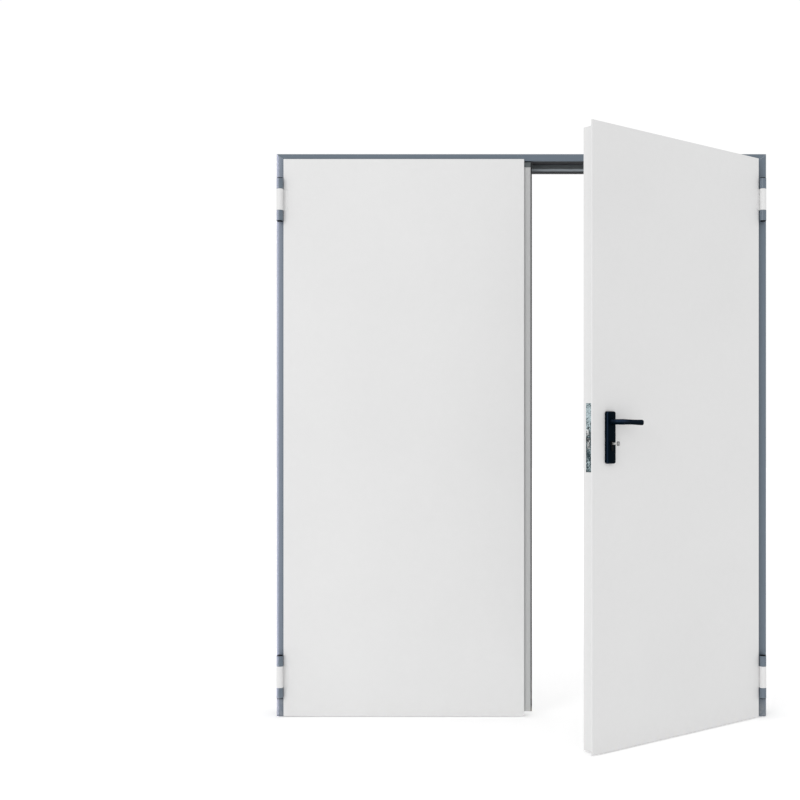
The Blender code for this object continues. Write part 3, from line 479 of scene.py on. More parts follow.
def powder_coat(name, colour, worn_and_highlit, roughness, peel, wear, dust):
    """Sprayed and baked coat: orange peel, a slow drift of tone, edges lighter from wear and from a painted
    highlight, and a dusty foot.
    """
    material, w, shader = finish_start(name, Metallic=0.0, IOR=1.5)
    grain = use(w, "coat_grain", Roughness=roughness, Peel_Scale=peel)
    tone = use(w, "tone", Colour=(*colour, 1.0), Dust=dust)
    edges = use(w, "edge_wear", Amount=wear)
    # Lighter edges: partly wear, partly a painted highlight along the edges.
    w.feed(shader.inputs["Base Color"], w.mixed(edges["Mask"], tone["Colour"], (*worn_and_highlit, 1.0)))
    dusty = w.maths("MULTIPLY", tone["Dust"], 0.35)
    w.feed(shader.inputs["Roughness"], w.maths("ADD", grain["Roughness"], dusty, clamp=True))
    raised(w, shader, grain["Height"], 0.22, 0.0006)
    return material


def nylon(name):
    """Moulded black nylon: a fine sparked grain, and a painted bluish highlight with a little lower
    roughness where the highlight attribute is set.
    """
    material, w, shader = finish_start(name, Metallic=0.0, IOR=1.5, Specular_IOR_Level=0.03,
                                       Specular_Tint=(0.35, 0.70, 1.0, 1.0))
    grain = use(w, "coat_grain", Roughness=0.34, Peel_Scale=900.0, Grain_Scale=3200.0, Grain_Share=0.8,
                Roughness_Drift=0.16)
    tone = use(w, "tone", Colour=(0.0004, 0.0026, 0.0052, 1.0), Drift=0.10, Dust=0.0)
    edges = use(w, "edge_wear", Radius=0.0012, Amount=0.25, Breakup_Scale=90.0)
    # Painted highlight: the attribute mixes in a lighter bluish colour, broken by streaks, where light
    # falls on the rims and flanks.
    highlight_share = w.node("ShaderNodeAttribute", {"attribute_name": "painted_highlight"}).outputs["Fac"]
    streaks = w.span(w.noise(w.stretched(w.place(), (1.0, 1.0, 0.08)), 260.0, 3.0), 0.3, 0.7, 0.55, 1.0)
    highlight_share = w.maths("MULTIPLY", highlight_share, streaks, clamp=True)
    # Lighter bluish edges: partly wear, partly a painted highlight.
    worn_and_highlit = w.mixed(edges["Mask"], tone["Colour"], (0.006, 0.014, 0.028, 1.0))
    w.feed(shader.inputs["Base Color"], w.mixed(highlight_share, worn_and_highlit, (0.018, 0.030, 0.056, 1.0)))
    smoothed = w.maths("SUBTRACT", grain["Roughness"], w.maths("MULTIPLY", highlight_share, 0.1))
    w.feed(shader.inputs["Roughness"], smoothed)
    raised(w, shader, grain["Height"], 0.16, 0.0003)
    return material


def black_steel(name):
    """Black coated pins and caps, a little greyer at their rubbed edges."""
    material, w, shader = finish_start(name, IOR=1.5, Specular_IOR_Level=0.05)
    grain = use(w, "coat_grain", Roughness=0.42, Peel_Scale=700.0)
    edges = use(w, "edge_wear", Radius=0.0006, Amount=0.25, Breakup_Scale=400.0)
    tone = use(w, "tone", Colour=(0.0025, 0.003, 0.0045, 1.0), Drift=0.08, Dust=0.05)
    w.feed(shader.inputs["Base Color"], w.mixed(edges["Mask"], tone["Colour"], (0.030, 0.035, 0.045, 1.0)))
    w.feed(shader.inputs["Roughness"], grain["Roughness"])
    raised(w, shader, grain["Height"], 0.2, 0.0003)
    return material


def rubber(name, colour, roughness):
    """Extruded seal: matt, faintly mottled, with dust in its grain."""
    material, w, shader = finish_start(name, Metallic=0.0, Specular_IOR_Level=0.3)
    grain = use(w, "coat_grain", Roughness=roughness, Peel_Scale=420.0, Grain_Scale=2200.0, Grain_Share=1.0)
    tone = use(w, "tone", Colour=(*colour, 1.0), Drift=0.18, Dust=0.4, Dust_Height=0.25)
    w.feed(shader.inputs["Base Color"], tone["Colour"])
    w.feed(shader.inputs["Roughness"], grain["Roughness"])
    raised(w, shader, grain["Height"], 0.35, 0.0005)
    return material


def galvanised(name, dark, light, cells, roughness, darkening=0.0):
    """Hot-dipped zinc: crystals that each catch the light their own way, and edges cut bright.

    Where darkening is given it is darker from the bolt's height down, and black blots round the latch's
    height are painted shade of the latch's pocket and gaps.
    """
    material, w, shader = finish_start(name, Metallic=1.0)
    darker_below = w.span(w.up(w.place()), FLOOR + DARKER_BELOW_Z[0], FLOOR + DARKER_BELOW_Z[1], -darkening, 0.3 * darkening)
    zinc = use(w, "spangle", Dark=(*dark, 1.0), Light=(*light, 1.0), Cell_Scale=cells, Roughness=roughness,
               Shift=darker_below)
    edges = use(w, "edge_wear", Radius=0.0008, Amount=0.6, Breakup_Scale=220.0)
    # Painted shade: black blots near the latch's height, where the latch's pocket and gaps lie in shade.
    rise = w.maths("ABSOLUTE", w.maths("SUBTRACT", w.up(w.place()), FLOOR + LATCH_SHADE_Z))
    near = w.span(rise, 0.022, 0.040, darkening, 0.0)
    shade_blots = w.span(w.noise(w.stretched(w.place(), (1.0, 1.0, 0.55)), 150.0, 2.0), 0.55, 0.60)
    latch_shade = w.maths("MULTIPLY", w.maths("MULTIPLY", shade_blots, near), 3.2, clamp=True)
    latch_shaded = w.mixed(latch_shade, zinc["Colour"], (0.006, 0.008, 0.009, 1.0))
    w.feed(shader.inputs["Base Color"], w.mixed(edges["Mask"], latch_shaded, (0.86, 0.88, 0.90, 1.0)))
    w.feed(shader.inputs["Roughness"], zinc["Roughness"])
    raised(w, shader, zinc["Height"], 0.25, 0.0002)
    return material


def nickel(name, colour, roughness):
    """Satin nickel with fine lines and small handling scratches."""
    material, w, shader = finish_start(name, Metallic=1.0)
    lines = use(w, "brushed", Roughness=roughness)
    tone = use(w, "tone", Colour=(*colour, 1.0), Drift=0.10, Dust=0.0)
    edges = use(w, "edge_wear", Radius=0.0005, Amount=0.5, Breakup_Scale=500.0)
    w.feed(shader.inputs["Base Color"], w.mixed(edges["Mask"], tone["Colour"], (0.93, 0.92, 0.90, 1.0)))
    w.feed(shader.inputs["Roughness"], lines["Roughness"])
    raised(w, shader, lines["Height"], 0.12, 0.0001)
    return material


def wool(name):
    """Pressed mineral wool: matted fibres in two directions and darker binder patches."""
    material, w, shader = finish_start(name, Metallic=0.0, Roughness=0.95)
    place = w.place()
    strands = w.maths("ADD", w.noise(w.stretched(place, (1.0, 1.0, 0.12)), 900.0, 4.0),
                      w.noise(w.stretched(place, (0.12, 1.0, 1.0)), 800.0, 4.0))
    patches = w.span(w.noise(place, 40.0, 5.0), 0.35, 0.65)
    bright = w.mixed(w.span(strands, 0.7, 1.3), (0.30, 0.25, 0.16, 1.0), (0.66, 0.60, 0.44, 1.0))
    w.feed(shader.inputs["Base Color"], w.mixed(patches, bright, (0.45, 0.41, 0.29, 1.0)))
    raised(w, shader, strands, 0.9, 0.0012)
    return material


FINISHES = {
    "leaf_paint": powder_coat("leaf_powder_coat", (0.700, 0.700, 0.700), worn_and_highlit=(0.81, 0.81, 0.81),
                              roughness=0.55, peel=260.0, wear=0.35, dust=0.05),
    "frame_paint": powder_coat("frame_powder_coat", (0.115, 0.147, 0.183), worn_and_highlit=(0.30, 0.34, 0.41),
                               roughness=0.36, peel=300.0, wear=0.18, dust=0.25),
    "black_plastic": nylon("black_nylon"),
    "black_metal": black_steel("black_pin_steel"),
    "seal_rubber": rubber("seal_black_rubber", (0.022, 0.023, 0.026), roughness=0.78),
    "lock_steel": galvanised("lock_zinc", dark=(0.034, 0.058, 0.066), light=(0.53, 0.64, 0.67),
                             cells=290.0, roughness=0.40, darkening=0.27),
    "key_nickel": nickel("satin_nickel", (0.95, 0.94, 0.92), roughness=0.45),
    "anchor_zinc": galvanised("strap_zinc", dark=(0.40, 0.42, 0.44), light=(0.70, 0.72, 0.73),
                              cells=90.0, roughness=0.45),
    "mineral_wool": wool("pressed_wool"),
}
BOLT_STEEL = galvanised("bolt_bright_steel", dark=(0.05, 0.06, 0.065), light=(0.95, 0.97, 0.97),
                        cells=310.0, roughness=0.34, darkening=0.10)
# A darker copy of the key's nickel: painted shade on the key's bow, which is seen edge-on.
SHADED_BOW_NICKEL = nickel("bow_nickel_painted_shade", (0.34, 0.34, 0.34), roughness=0.42)
# A lighter copy of the frame's coat: painted light on the stop's face, where the rails stand.
RAIL_PAINTED_LIGHT = powder_coat("rail_coat_painted_light", (0.31, 0.345, 0.375), worn_and_highlit=(0.55, 0.57, 0.60),
                        roughness=0.40, peel=320.0, wear=0.35, dust=0.1)
SCREW_ZINC = nickel("screw_zinc", (0.80, 0.80, 0.77), roughness=0.30)
STRIP_GREY = powder_coat("strip_grey_coat", (0.450, 0.455, 0.455), worn_and_highlit=(0.54, 0.54, 0.54),
                         roughness=0.48, peel=320.0, wear=0.30, dust=0.15)
STOP_SEAL_GREY = rubber("stop_seal_grey_rubber", (0.100, 0.112, 0.116), roughness=0.80)
SLOT_OF = {entry["node"]: entry["material_slot"] for entry in frame["record"]["subparts"]}
BODY_OF = {
    node: body for body, members in frame["record"]["behaviour"]["bodies"].items() for node in members
}


def paint_nodes():
    """Gives every CAD node the finish of its slot."""
    for name, obj in frame["nodes"].items():
        obj.data.materials.clear()
        obj.data.materials.append(FINISHES[SLOT_OF[name]])


# Pieces


def lever_surface(outwards):
    """One lever: a round neck, a quarter-circle elbow and a flat grip with a rounded tip.

    The centreline runs straight out, then along a quarter circle, then along the leaf with a slight droop.
    Each ring is a superellipse that goes from round at the neck to a soft bar at the grip, a little deeper
    towards the tip, where the rings shrink along a quarter ellipse.
    """
    elbow = 0.016
    reach = LEVER_OFF - PLATE_PROUD + LEVER_START - elbow
    run = LEVER_LONG - LEVER_TIP
    neck = np.linspace(0.0, 1.0, 14)[:-1]
    bend = np.linspace(0.0, 1.0, 22)[:-1]
    grip = np.linspace(0.0, 1.0, 30)[:-1]
    tip = np.linspace(0.0, 1.0, 12)[:-1]
    zero = np.zeros_like
    turn = np.concatenate([zero(neck), bend, zero(grip) + 1.0, zero(tip) + 1.0]) * math.pi / 2
    along = np.concatenate([
        zero(neck),
        elbow * (1.0 - np.cos(bend * math.pi / 2)),
        elbow + (run - elbow) * grip,
        run + LEVER_TIP * np.sin(tip * math.pi / 2),
    ])
    out = np.concatenate([
        reach * neck,
        reach + elbow * np.sin(bend * math.pi / 2),
        zero(grip) + reach + elbow,
        zero(tip) + reach + elbow,
    ])
    flat = np.concatenate([zero(neck), 0.15 + 0.85 * bend, zero(grip) + 1.0, zero(tip) + 1.0])
    shrink = np.concatenate([
        zero(neck) + 1.0, zero(bend) + 1.0, zero(grip) + 1.0, np.cos(tip * math.pi / 2)
    ])
    share = np.clip((along - elbow) / (run - elbow), 0.0, 1.0)
    tall = (0.009 + 0.0005 * flat) * (1.0 - 0.10 * np.sin(share * math.pi) * flat)
    wide = (0.009 - 0.003 * flat) * (1.0 - 0.08 * share)
    tall = tall * (0.2 + 0.8 * shrink)
    wide = wide * (0.2 + 0.8 * shrink)
    power = 1.0 - 0.42 * flat
    angle = ring_angles(56)
    side = np.sign(np.cos(angle)) * np.abs(np.cos(angle)) ** power[:, None] * wide[:, None]
    rise = np.sign(np.sin(angle)) * np.abs(np.sin(angle)) ** power[:, None] * tall[:, None]
    droop = -0.0012 * ease(along, 0.03, LEVER_LONG)
    u = SPINDLE_U - (along[:, None] + side * np.cos(turn)[:, None])
    depth = out[:, None] - side * np.sin(turn)[:, None]
    start = FACE_V - PLATE_PROUD + LEVER_START if outwards < 0 else BACK_V + PLATE_PROUD - LEVER_START
    v = start + outwards * depth
    z = SPINDLE_Z + rise + droop[:, None]
    return skin(on_active(np.stack([u, v, z], axis=-1)))


def collar_surface(outwards):
    """The raised ring that the lever's neck turns in: a closed rounded profile turned about the neck."""
    face = FACE_V - PLATE_PROUD if outwards < 0 else BACK_V + PLATE_PROUD
    middle, half, tall, root = 0.01165, 0.0021, 0.0016, -0.0008
    turn = np.linspace(0.0, math.pi, 13)
    rim = np.stack([middle + half * np.cos(turn), tall * np.sin(turn) ** 0.7], axis=-1)
    outer, inner = [[middle + half, root]], [[middle - half, root]]
    rim = np.concatenate([outer, rim, inner, outer])
    return skin(on_spindle_line(lathe(rim, 72), face, SPINDLE_Z, outwards), caps=False)


def screw_surface(origin, across, up, out, radius):
    """A countersunk head with a crossed recess.

    A dished disc whose height is a shallow dome, less a cross of two soft-edged slots that fade towards
    the rim; the rim is rounded and the cone below it closes in a point.
    """
    share = np.concatenate([np.linspace(0.02, 0.70, 12), np.linspace(0.76, 1.0, 5)])
    angle = ring_angles(48)
    a = share[:, None] * np.cos(angle)
    b = share[:, None] * np.sin(angle)
    width, length = 0.10, 0.56
    cross = (1.0 - ease(np.abs(a), width, width + 0.05)) * (1.0 - ease(np.abs(b), length - 0.1, length))
    cross = np.maximum(
        cross, (1.0 - ease(np.abs(b), width, width + 0.05)) * (1.0 - ease(np.abs(a), length - 0.1, length))
    )
    dome = 0.06 * (1.0 - share[:, None] ** 2) - 0.05 * ease(share[:, None], 0.88, 1.0)
    top = np.stack([a, b, dome - 0.42 * cross], axis=-1) * radius
    cone = [(radius * 0.995, -0.12 * radius), (radius * 0.55, -SCREW_SUNK), (radius * 0.02, -SCREW_SUNK)]
    below = lathe(cone, 48)
    return skin(set_in(np.concatenate([top, below]), origin, across, up, out))


def screws(name, body, place, spots, across, up, out, radius=0.0042, finish=None):
    """A row of countersunk screws as one piece, each turned a little further than the last."""
    parts = []
    for number, spot in enumerate(spots):
        lean = 0.35 + 0.9 * number
        turned_across = np.array(across) * math.cos(lean) + np.array(up) * math.sin(lean)
        turned_up = np.array(up) * math.cos(lean) - np.array(across) * math.sin(lean)
        verts, quads, fans = screw_surface(spot, turned_across, turned_up, out, radius)
        parts.append((place(verts), quads, fans))
    return made(name, body, "lock_steel", finish or SCREW_ZINC, joined(*parts), sharp=50.0)


def strip_surface(profile, low, high, steps):
    """A flat closed profile carried straight up from low to high; each ring repeats the profile."""
    profile = np.asarray(profile, float)
    heights = np.linspace(low, high, steps)
    rings = np.empty((steps, len(profile), 3))
    rings[..., :2] = profile[None]
    rings[..., 2] = heights[:, None]
    return rings


def ribbed_profile(along, face, back, ribs):
    """A seal's section: flat behind, and a row of rounded ribs in front made by the size of a sine."""
    run = np.linspace(0.0, 1.0, ribs * 8 + 1)
    crest = np.abs(np.sin(run * math.pi * ribs)) ** 0.6
    front = back + (face - back) * (0.45 + 0.55 * crest)
    across = along[0] + (along[1] - along[0]) * run
    outline = np.stack([across, front], axis=-1)
    return np.concatenate([outline, [[along[1], back], [along[0], back]]])


def stop_seals():
    """Ribbed seals in place of the plain strips on the frame's stop."""
    for side in ("left", "right"):
        low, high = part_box(f"seal_{side}")
        profile = ribbed_profile((low.x, high.x), low.y, high.y, 3)
        arrays = skin(strip_surface(profile, low.z, high.z, 3))
        made(f"ribbed_seal_{side}", "frame", "seal_rubber", STOP_SEAL_GREY, arrays,
             stands_for=(f"seal_{side}",))
    low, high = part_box("seal_head")
    profile = ribbed_profile((low.z, high.z), low.y, high.y, 3)
    rings = strip_surface(profile, low.x, high.x, 3)[..., [2, 1, 0]]
    made("ribbed_seal_head", "frame", "seal_rubber", STOP_SEAL_GREY, skin(rings),
         stands_for=("seal_head",))


def meeting_seal():
    """The gasket in the passive leaf's edge: a square foot with a bulb whose outline is a half ellipse."""
    low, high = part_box("meeting_gasket")
    foot = high.x - 0.0034
    middle = (low.y + high.y) / 2
    half = (high.y - low.y) / 2
    turn = np.linspace(-math.pi / 2, math.pi / 2, 25)
    proud = high.x - foot + 0.0020
    bulb = np.stack([foot + proud * np.cos(turn), middle + half * np.sin(turn)], axis=-1)
    neck = [[foot - 0.0006, high.y], [foot - 0.0009, high.y - 0.0010], [low.x, high.y - 0.0010]]
    root = [[low.x, low.y + 0.0010], [foot - 0.0009, low.y + 0.0010], [foot - 0.0006, low.y]]
    profile = np.concatenate([bulb, neck, root])
    made("meeting_bulb_seal", "passive_leaf", "seal_rubber", FINISHES["seal_rubber"],
         skin(strip_surface(profile, low.z, high.z, 3)), stands_for=("meeting_gasket",))


def meeting_strip():
    """The grey strip that covers the rabbet and the gasket's root: its front is flat, then dips and rises
    into a half-round bead along its free edge. A soft pad of superellipse section closes its top."""
    low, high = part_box("meeting_gasket")
    rabbet = 0.0238
    step = PASSIVE_EDGE_U - AXIS_X - rabbet
    bead = low.x + 0.0002
    edge = low.x + 0.0027
    turn = np.linspace(math.pi, 0.0, 15)
    middle, half = (bead + edge) / 2, (edge - bead) / 2
    round_x = middle + half * np.cos(turn)
    round_y = low.y - 0.0007 - 0.0012 * np.sin(turn)
    front = [[step, low.y - 0.0003], [step, low.y - 0.0008], [step + 0.0004, low.y - 0.0011]]
    dip = [[bead - 0.0010, low.y - 0.0011], [bead - 0.0006, low.y - 0.0007]]
    rim = np.stack([round_x, round_y], axis=-1)
    profile = np.concatenate([front, dip, rim, [[edge, low.y - 0.0003]]])
    made("meeting_cover_strip", "passive_leaf", "leaf_paint", STRIP_GREY,
         skin(strip_surface(profile, low.z, high.z - 0.0185, 3)), 30.0)
    across, deep = superellipse(32, (edge - step) / 2, 0.0010, 0.25)
    pad = np.stack([(edge + step) / 2 + across, low.y - 0.0013 + deep], axis=-1)
    made("meeting_top_pad", "passive_leaf", "seal_rubber", STOP_SEAL_GREY,
         skin(strip_surface(pad, high.z - 0.0180, high.z, 3)), 40.0)


def rebate_strips():
    """Black strips that swell in a fire: a flat section with round edges, on the reveals and the stop. On
    the soffit and under the stop their black also paints the shade that falls there.
    """
    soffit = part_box("seal_head")[1].z + SEAL_GAP
    stop_under = soffit - STOP_DEEP
    turn = ring_angles(24)
    cos, sin = np.cos(turn), np.sin(turn)
    long_side = np.sign(cos) * np.abs(cos) ** 0.22
    thin_side = np.sign(sin) * np.abs(sin) ** 0.6

    half_thick, off = 0.0004, 0.00045

    def section(level, centre, half):
        """A strip that lies just off a level, from centre less half to centre plus half."""
        return np.stack([level - off + half_thick * thin_side, centre + half * long_side], axis=-1)

    rubber_finish = FINISHES["seal_rubber"]
    for side, hand in (("left", -1.0), ("right", 1.0)):
        profile = section(REVEAL_X, 0.023, 0.019) * [hand, 1.0]
        rings = strip_surface(profile, FLOOR + 0.004, soffit - 0.004, 3)
        made(f"swelling_strip_{side}", "frame", "seal_rubber", rubber_finish, skin(rings), 40.0)
    # Painted shade: the soffit and the stop's underside lie in shade, which these black strips also stand
    # for.
    for name, level, centre, half, reach in (
        ("head", soffit, 0.0315, 0.0285, REVEAL_X - 0.002),
        ("stop", stop_under, 0.0800, 0.0160, REVEAL_X - 0.030),
    ):
        profile = section(level, centre, half)
        rings = strip_surface(profile, -reach, reach, 3)[..., [2, 1, 0]]
        made(f"swelling_strip_{name}", "frame", "seal_rubber", rubber_finish, skin(rings), 40.0)


def key_surface():
    """A key in two closed skins. The bow is a flat bar carried round its hole: at each angle the bar runs
    from the hole's circle out to a superellipse. The shank's section is a rounded bar whose flanks dip in
    the middle, and it flares into the bow."""
    middle, half_long, half_tall = KEY_BOW
    count = 72
    rim_v, rim_z = superellipse(count, half_long, half_tall, 0.62)
    angle = ring_angles(count)
    hole_off, hole_half = -0.0018, 0.0019
    hole_v = hole_off + hole_half * np.cos(angle)
    hole_z = hole_half * np.sin(angle)
    share, lift = superellipse(24, 0.5, 0.00125, 0.45)
    share = share[None] + 0.5
    v = middle + hole_v[:, None] * (1.0 - share) + rim_v[:, None] * share
    z = CYLINDER_Z + hole_z[:, None] * (1.0 - share) + rim_z[:, None] * share
    u = np.broadcast_to(SPINDLE_U + lift, (count, 24))
    rings = np.stack([u, v, z], axis=-1)
    bow = skin(np.concatenate([rings, rings[:1]]), caps=False)
    steps = np.linspace(middle + half_long * 0.90, CYLINDER_FRONT_V - 0.0004, 18)
    half = 0.0038 + 0.0010 * (1.0 - ease(steps, steps[0], steps[0] + 0.003))
    across, up = superellipse(40, 1.0, 1.0, 0.35)
    dip = 1.0 - 0.30 * np.exp(-((up - 0.25) / 0.22) ** 2) * (np.abs(across) > 0.3)
    u = SPINDLE_U + 0.00115 * across * dip
    z = CYLINDER_Z + half[:, None] * up
    shank = skin(np.stack(np.broadcast_arrays(u, steps[:, None], z), axis=-1))
    return bow, shank


def plug_surface(front, radius, deep, outwards):
    """A plug's face: a chamfered disc turned about its axis, dished towards the keyway in the middle."""
    bore = 0.0018
    profile = [
        (0.0002, -0.0006),
        (bore, -0.0006),
        (bore + 0.0004, -0.0001),
        (radius * 0.80, 0.0),
        (radius * 0.93, 0.0),
        (radius, -0.0005),
        (radius, -deep),
        (0.0002, -deep),
    ]
    return skin(on_spindle_line(lathe(profile, 56), front, CYLINDER_Z, outwards))


def keyway_shade_plate(front, outwards):
    """A thin raised superellipse plate a hair proud of a plug's dish, black as painted shade of the dark
    slot behind the plug's face.
    """
    across, up = superellipse(40, 0.00095, 0.0042, 0.5)
    shares = np.array([1.0, 1.0, 0.96, 0.02])
    levels = np.array([-0.0010, 0.00006, 0.00012, 0.00012])
    rings = np.empty((4, 40, 3))
    rings[..., 0] = shares[:, None] * across
    rings[..., 1] = shares[:, None] * up
    rings[..., 2] = levels[:, None]
    return skin(on_spindle_line(rings, front, CYLINDER_Z, outwards))


def hinge_washers(side, place):
    """Thin bearing rings between the knuckles: a rounded flat profile turned about the hinge axis."""
    middle, half_wide, half_thick, off = 0.0094, 0.0027, 0.00021, 0.04025
    across, up = superellipse(16, half_wide, half_thick, 0.4)
    rim = np.stack([middle + across, up], axis=-1)
    rim = np.concatenate([rim, rim[:1]])
    hand = -1.0 if side == "left" else 1.0
    height = HINGE_HEIGHTS[0] if place == "lower" else HINGE_HEIGHTS[1]
    parts = []
    for level in (-off, off):
        rings = lathe(rim, 48) + [hand * AXIS_X, AXIS_Y, FLOOR + height + level]
        parts.append(skin(rings, caps=False))
    made(f"hinge_washers_{side}_{place}", "frame", "black_metal", FINISHES["black_metal"], joined(*parts))


def thumb_slide():
    """The flush bolt's thumb bar: its height over the hollow is a flat-topped bump along its length and
    a half ellipse across it, closed below by a flat ring."""
    long_half, wide_half, tall, sunk = 0.019, 0.0042, 0.0026, 0.0021
    run = np.linspace(-1.0, 1.0, 33)
    turn = np.linspace(0.0, math.pi, 17)
    lift = (1.0 - np.abs(run) ** 6) * (1.0 - 0.22 * np.exp(-(run / 0.28) ** 2))
    z = FLUSH_Z + long_half * run[:, None]
    v = LOCK_V + wide_half * np.cos(turn)[None] * (1.0 - 0.25 * np.abs(run[:, None]) ** 4)
    u = PASSIVE_EDGE_U - sunk + tall * lift[:, None] * np.sin(turn)[None] ** 0.6
    arrays = skin(on_passive(np.stack(np.broadcast_arrays(u, v, z), axis=-1)))
    made("flush_bolt_thumb_bar", "passive_leaf", "lock_steel", FINISHES["lock_steel"], arrays)


def rim_highlight(u, below):
    """Painted highlight on a cover plate: a sine over its rounded rim, on the side towards the leaf's free
    edge, which faces the light.
    """
    side = ease(u, SPINDLE_U + 0.012, SPINDLE_U + 0.016)
    return 0.7 * np.sin(math.pi * np.clip(1.0 - below / PLATE_EDGE, 0.0, 1.0)) * side


def grip_highlight(along, height):
    """Painted highlight on a lever: most on its upper flank near the elbow, which faces the light, less
    towards the tip.
    """
    flank = ease(height, -0.004, 0.003) * (1.0 - 0.5 * ease(height, 0.005, 0.009))
    return flank * ease(along, -0.012, -0.004) * (1.0 - 0.75 * ease(along, 0.010, 0.050))


def rail_profile(low, high, back):
    """A flat rail's section: it stands proud of its back and ends in a quarter round at low and at high."""
    turn = np.linspace(0.0, math.pi / 2, 7)
    inset = RAIL_PROUD * (1.0 - np.cos(turn))
    reach = np.concatenate([low + inset, high - inset[::-1]])
    front = back - 0.0001 - RAIL_PROUD * np.concatenate([np.sin(turn), np.sin(turn[::-1])])
    return np.concatenate([np.stack([reach, front], axis=-1), [[high, back], [low, back]]])


def seal_rails():
    """Rails on the stop beside the seals, in a light grey that paints the light falling on the stop's face,
    and a black half-round bead under the top one that paints the shade under the stop.
    """
    low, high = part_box("seal_head")
    under = high.z + SEAL_GAP - STOP_DEEP
    for side, hand in (("left", -1.0), ("right", 1.0)):
        profile = rail_profile(*SIDE_RAIL_X, high.y) * [hand, 1.0]
        rings = strip_surface(profile, FLOOR + 0.003, under - 0.0002, 3)
        made(f"seal_rail_{side}", "frame", "frame_paint", RAIL_PAINTED_LIGHT, skin(rings), 40.0)
    rail = rail_profile(under + 0.0030, low.z - 0.0004, high.y)
    # Painted shade: the black bead marks the shade under the stop's face.
    bend = np.linspace(-math.pi / 2, math.pi / 2, 15)
    middle, half = under + 0.0015, 0.0013
    bead = np.stack([middle + half * np.sin(bend), high.y - 0.0002 - 0.0016 * np.cos(bend)], axis=-1)
    bead = np.concatenate([bead, [[middle + half, high.y], [middle - half, high.y]]])
    for name, profile, slot, finish in (
        ("seal_rail_head", rail, "frame_paint", RAIL_PAINTED_LIGHT),
        ("shade_bead_head", bead, "seal_rubber", FINISHES["seal_rubber"]),
    ):
        rings = strip_surface(profile, -STOP_X, STOP_X, 3)[..., [2, 1, 0]]
        made(name, "frame", slot, finish, skin(rings), 40.0)


def fittings():
    """Everything that is fixed to the leaves and turns with them."""
    black = FINISHES["black_plastic"]
    for name, outwards in (("front", -1.0), ("back", 1.0)):
        grip = made(f"lever_{name}_grip", "levers", "black_plastic", black, lever_surface(outwards), 60.0,
                    (f"lever_{name}",))
        # Painted highlight along the lever's upper flank.
        painted_highlight(grip, lambda u, v, z: grip_highlight(SPINDLE_U - u, z - SPINDLE_Z))
        made(f"lever_{name}_collar", "active_leaf", "black_plastic", black, collar_surface(outwards), 50.0)
        plate = softened(
            f"plate_{name}", f"cover_plate_{name}", "active_leaf", "black_plastic", black, 0.0, 40.0
        )
        front = FACE_V - PLATE_PROUD if outwards < 0 else BACK_V + PLATE_PROUD
        # Painted highlight along the plate's rim on its free-edge side.
        painted_highlight(plate, lambda u, v, z: rim_highlight(u, np.abs(v - front)))
    bow, shank = key_surface()
    # The bow takes the darker nickel as painted shade.
    for name, part, finish in (("key_shank", shank, FINISHES["key_nickel"]), ("key_bow", bow, SHADED_BOW_NICKEL)):
        made(name, "key", "key_nickel", finish, (on_active(part[0]), *part[1:]), 45.0, ("key",))
    made("plug_face", "key", "black_metal", FINISHES["black_metal"],
         plug_surface(CYLINDER_FRONT_V, 0.0070, 0.040, -1.0), 40.0, ("plug",))
    back_face = BACK_V + PLATE_PROUD
    made("inner_plug_face", "active_leaf", "black_metal", FINISHES["black_metal"],
         plug_surface(back_face + 0.0038, 0.0068, 0.004, 1.0), 40.0)
    # Painted shade: a black plate stands for the shade in the keyway's slot.
    made("inner_keyway_painted_shade", "active_leaf", "black_plastic", black,
         keyway_shade_plate(back_face + 0.0033, 1.0), 40.0)
    edge = dict(across=(0, 1, 0), up=(0, 0, 1), out=(1, 0, 0))
    for name, body, place, u, heights, finish in (
        ("forend", "active_leaf", on_active, ACTIVE_EDGE_U,
         (FOREND_Z[0] + 0.012, FOREND_Z[1] - 0.012), FINISHES["lock_steel"]),
        ("strike", "passive_leaf", on_passive, PASSIVE_EDGE_U,
         (STRIKE_Z[0] + 0.010, STRIKE_Z[1] - 0.010), SCREW_ZINC),
        ("flush_bolt", "passive_leaf", on_passive, PASSIVE_EDGE_U,
         (FLUSH_Z - 0.078, FLUSH_Z + 0.078), SCREW_ZINC),
    ):
        spots = [(u, LOCK_V, height) for height in heights]
        screws(f"{name}_screws", body, place, spots, finish=finish, **edge)
    screws("cover_plate_screws", "active_leaf", on_active,
           [(SPINDLE_U, back_face, PLATE_Z[0] + 0.013), (SPINDLE_U, back_face, PLATE_Z[1] - 0.0115)],
           (1, 0, 0), (0, 0, 1), (0, 1, 0), 0.0036)
    leg = dict(across=(0, 1, 0), up=(0, 0, 1), out=(-1, 0, 0))
    for side, body, place in (("left", "passive_leaf", on_passive), ("right", "active_leaf", on_active)):
        spots = [
            (BODY_EDGE_U, FACE_V + depth, height + step)
            for height in HINGE_HEIGHTS
            for step, depth in ((-0.026, 0.024), (0.0, 0.038), (0.026, 0.024))
        ]
        screws(f"hinge_screws_{side}", body, place, spots, **leg)
        for level in ("lower", "upper"):
            hinge_washers(side, level)
    thumb_slide()


def softened_nodes():
    """CAD nodes whose edges show the light: copies with merged faces and a small broken edge."""
    for node in frame["nodes"]:
        slot, body = SLOT_OF[node], BODY_OF[node]
        if node.startswith("hinge_"):
            bevel = 0.0 if node.endswith("_pin") else 0.0003
            softened(node, f"{node}_finished", body, slot, FINISHES[slot], bevel)
        elif node in ("latch", "deadbolt"):
            softened(node, f"{node}_finished", body, slot, BOLT_STEEL, 0.0005)
        elif node.startswith("frame_") or node == "cylinder":
            softened(node, f"{node}_finished", body, slot, FINISHES[slot], 0.0, 25.0)


# Stage

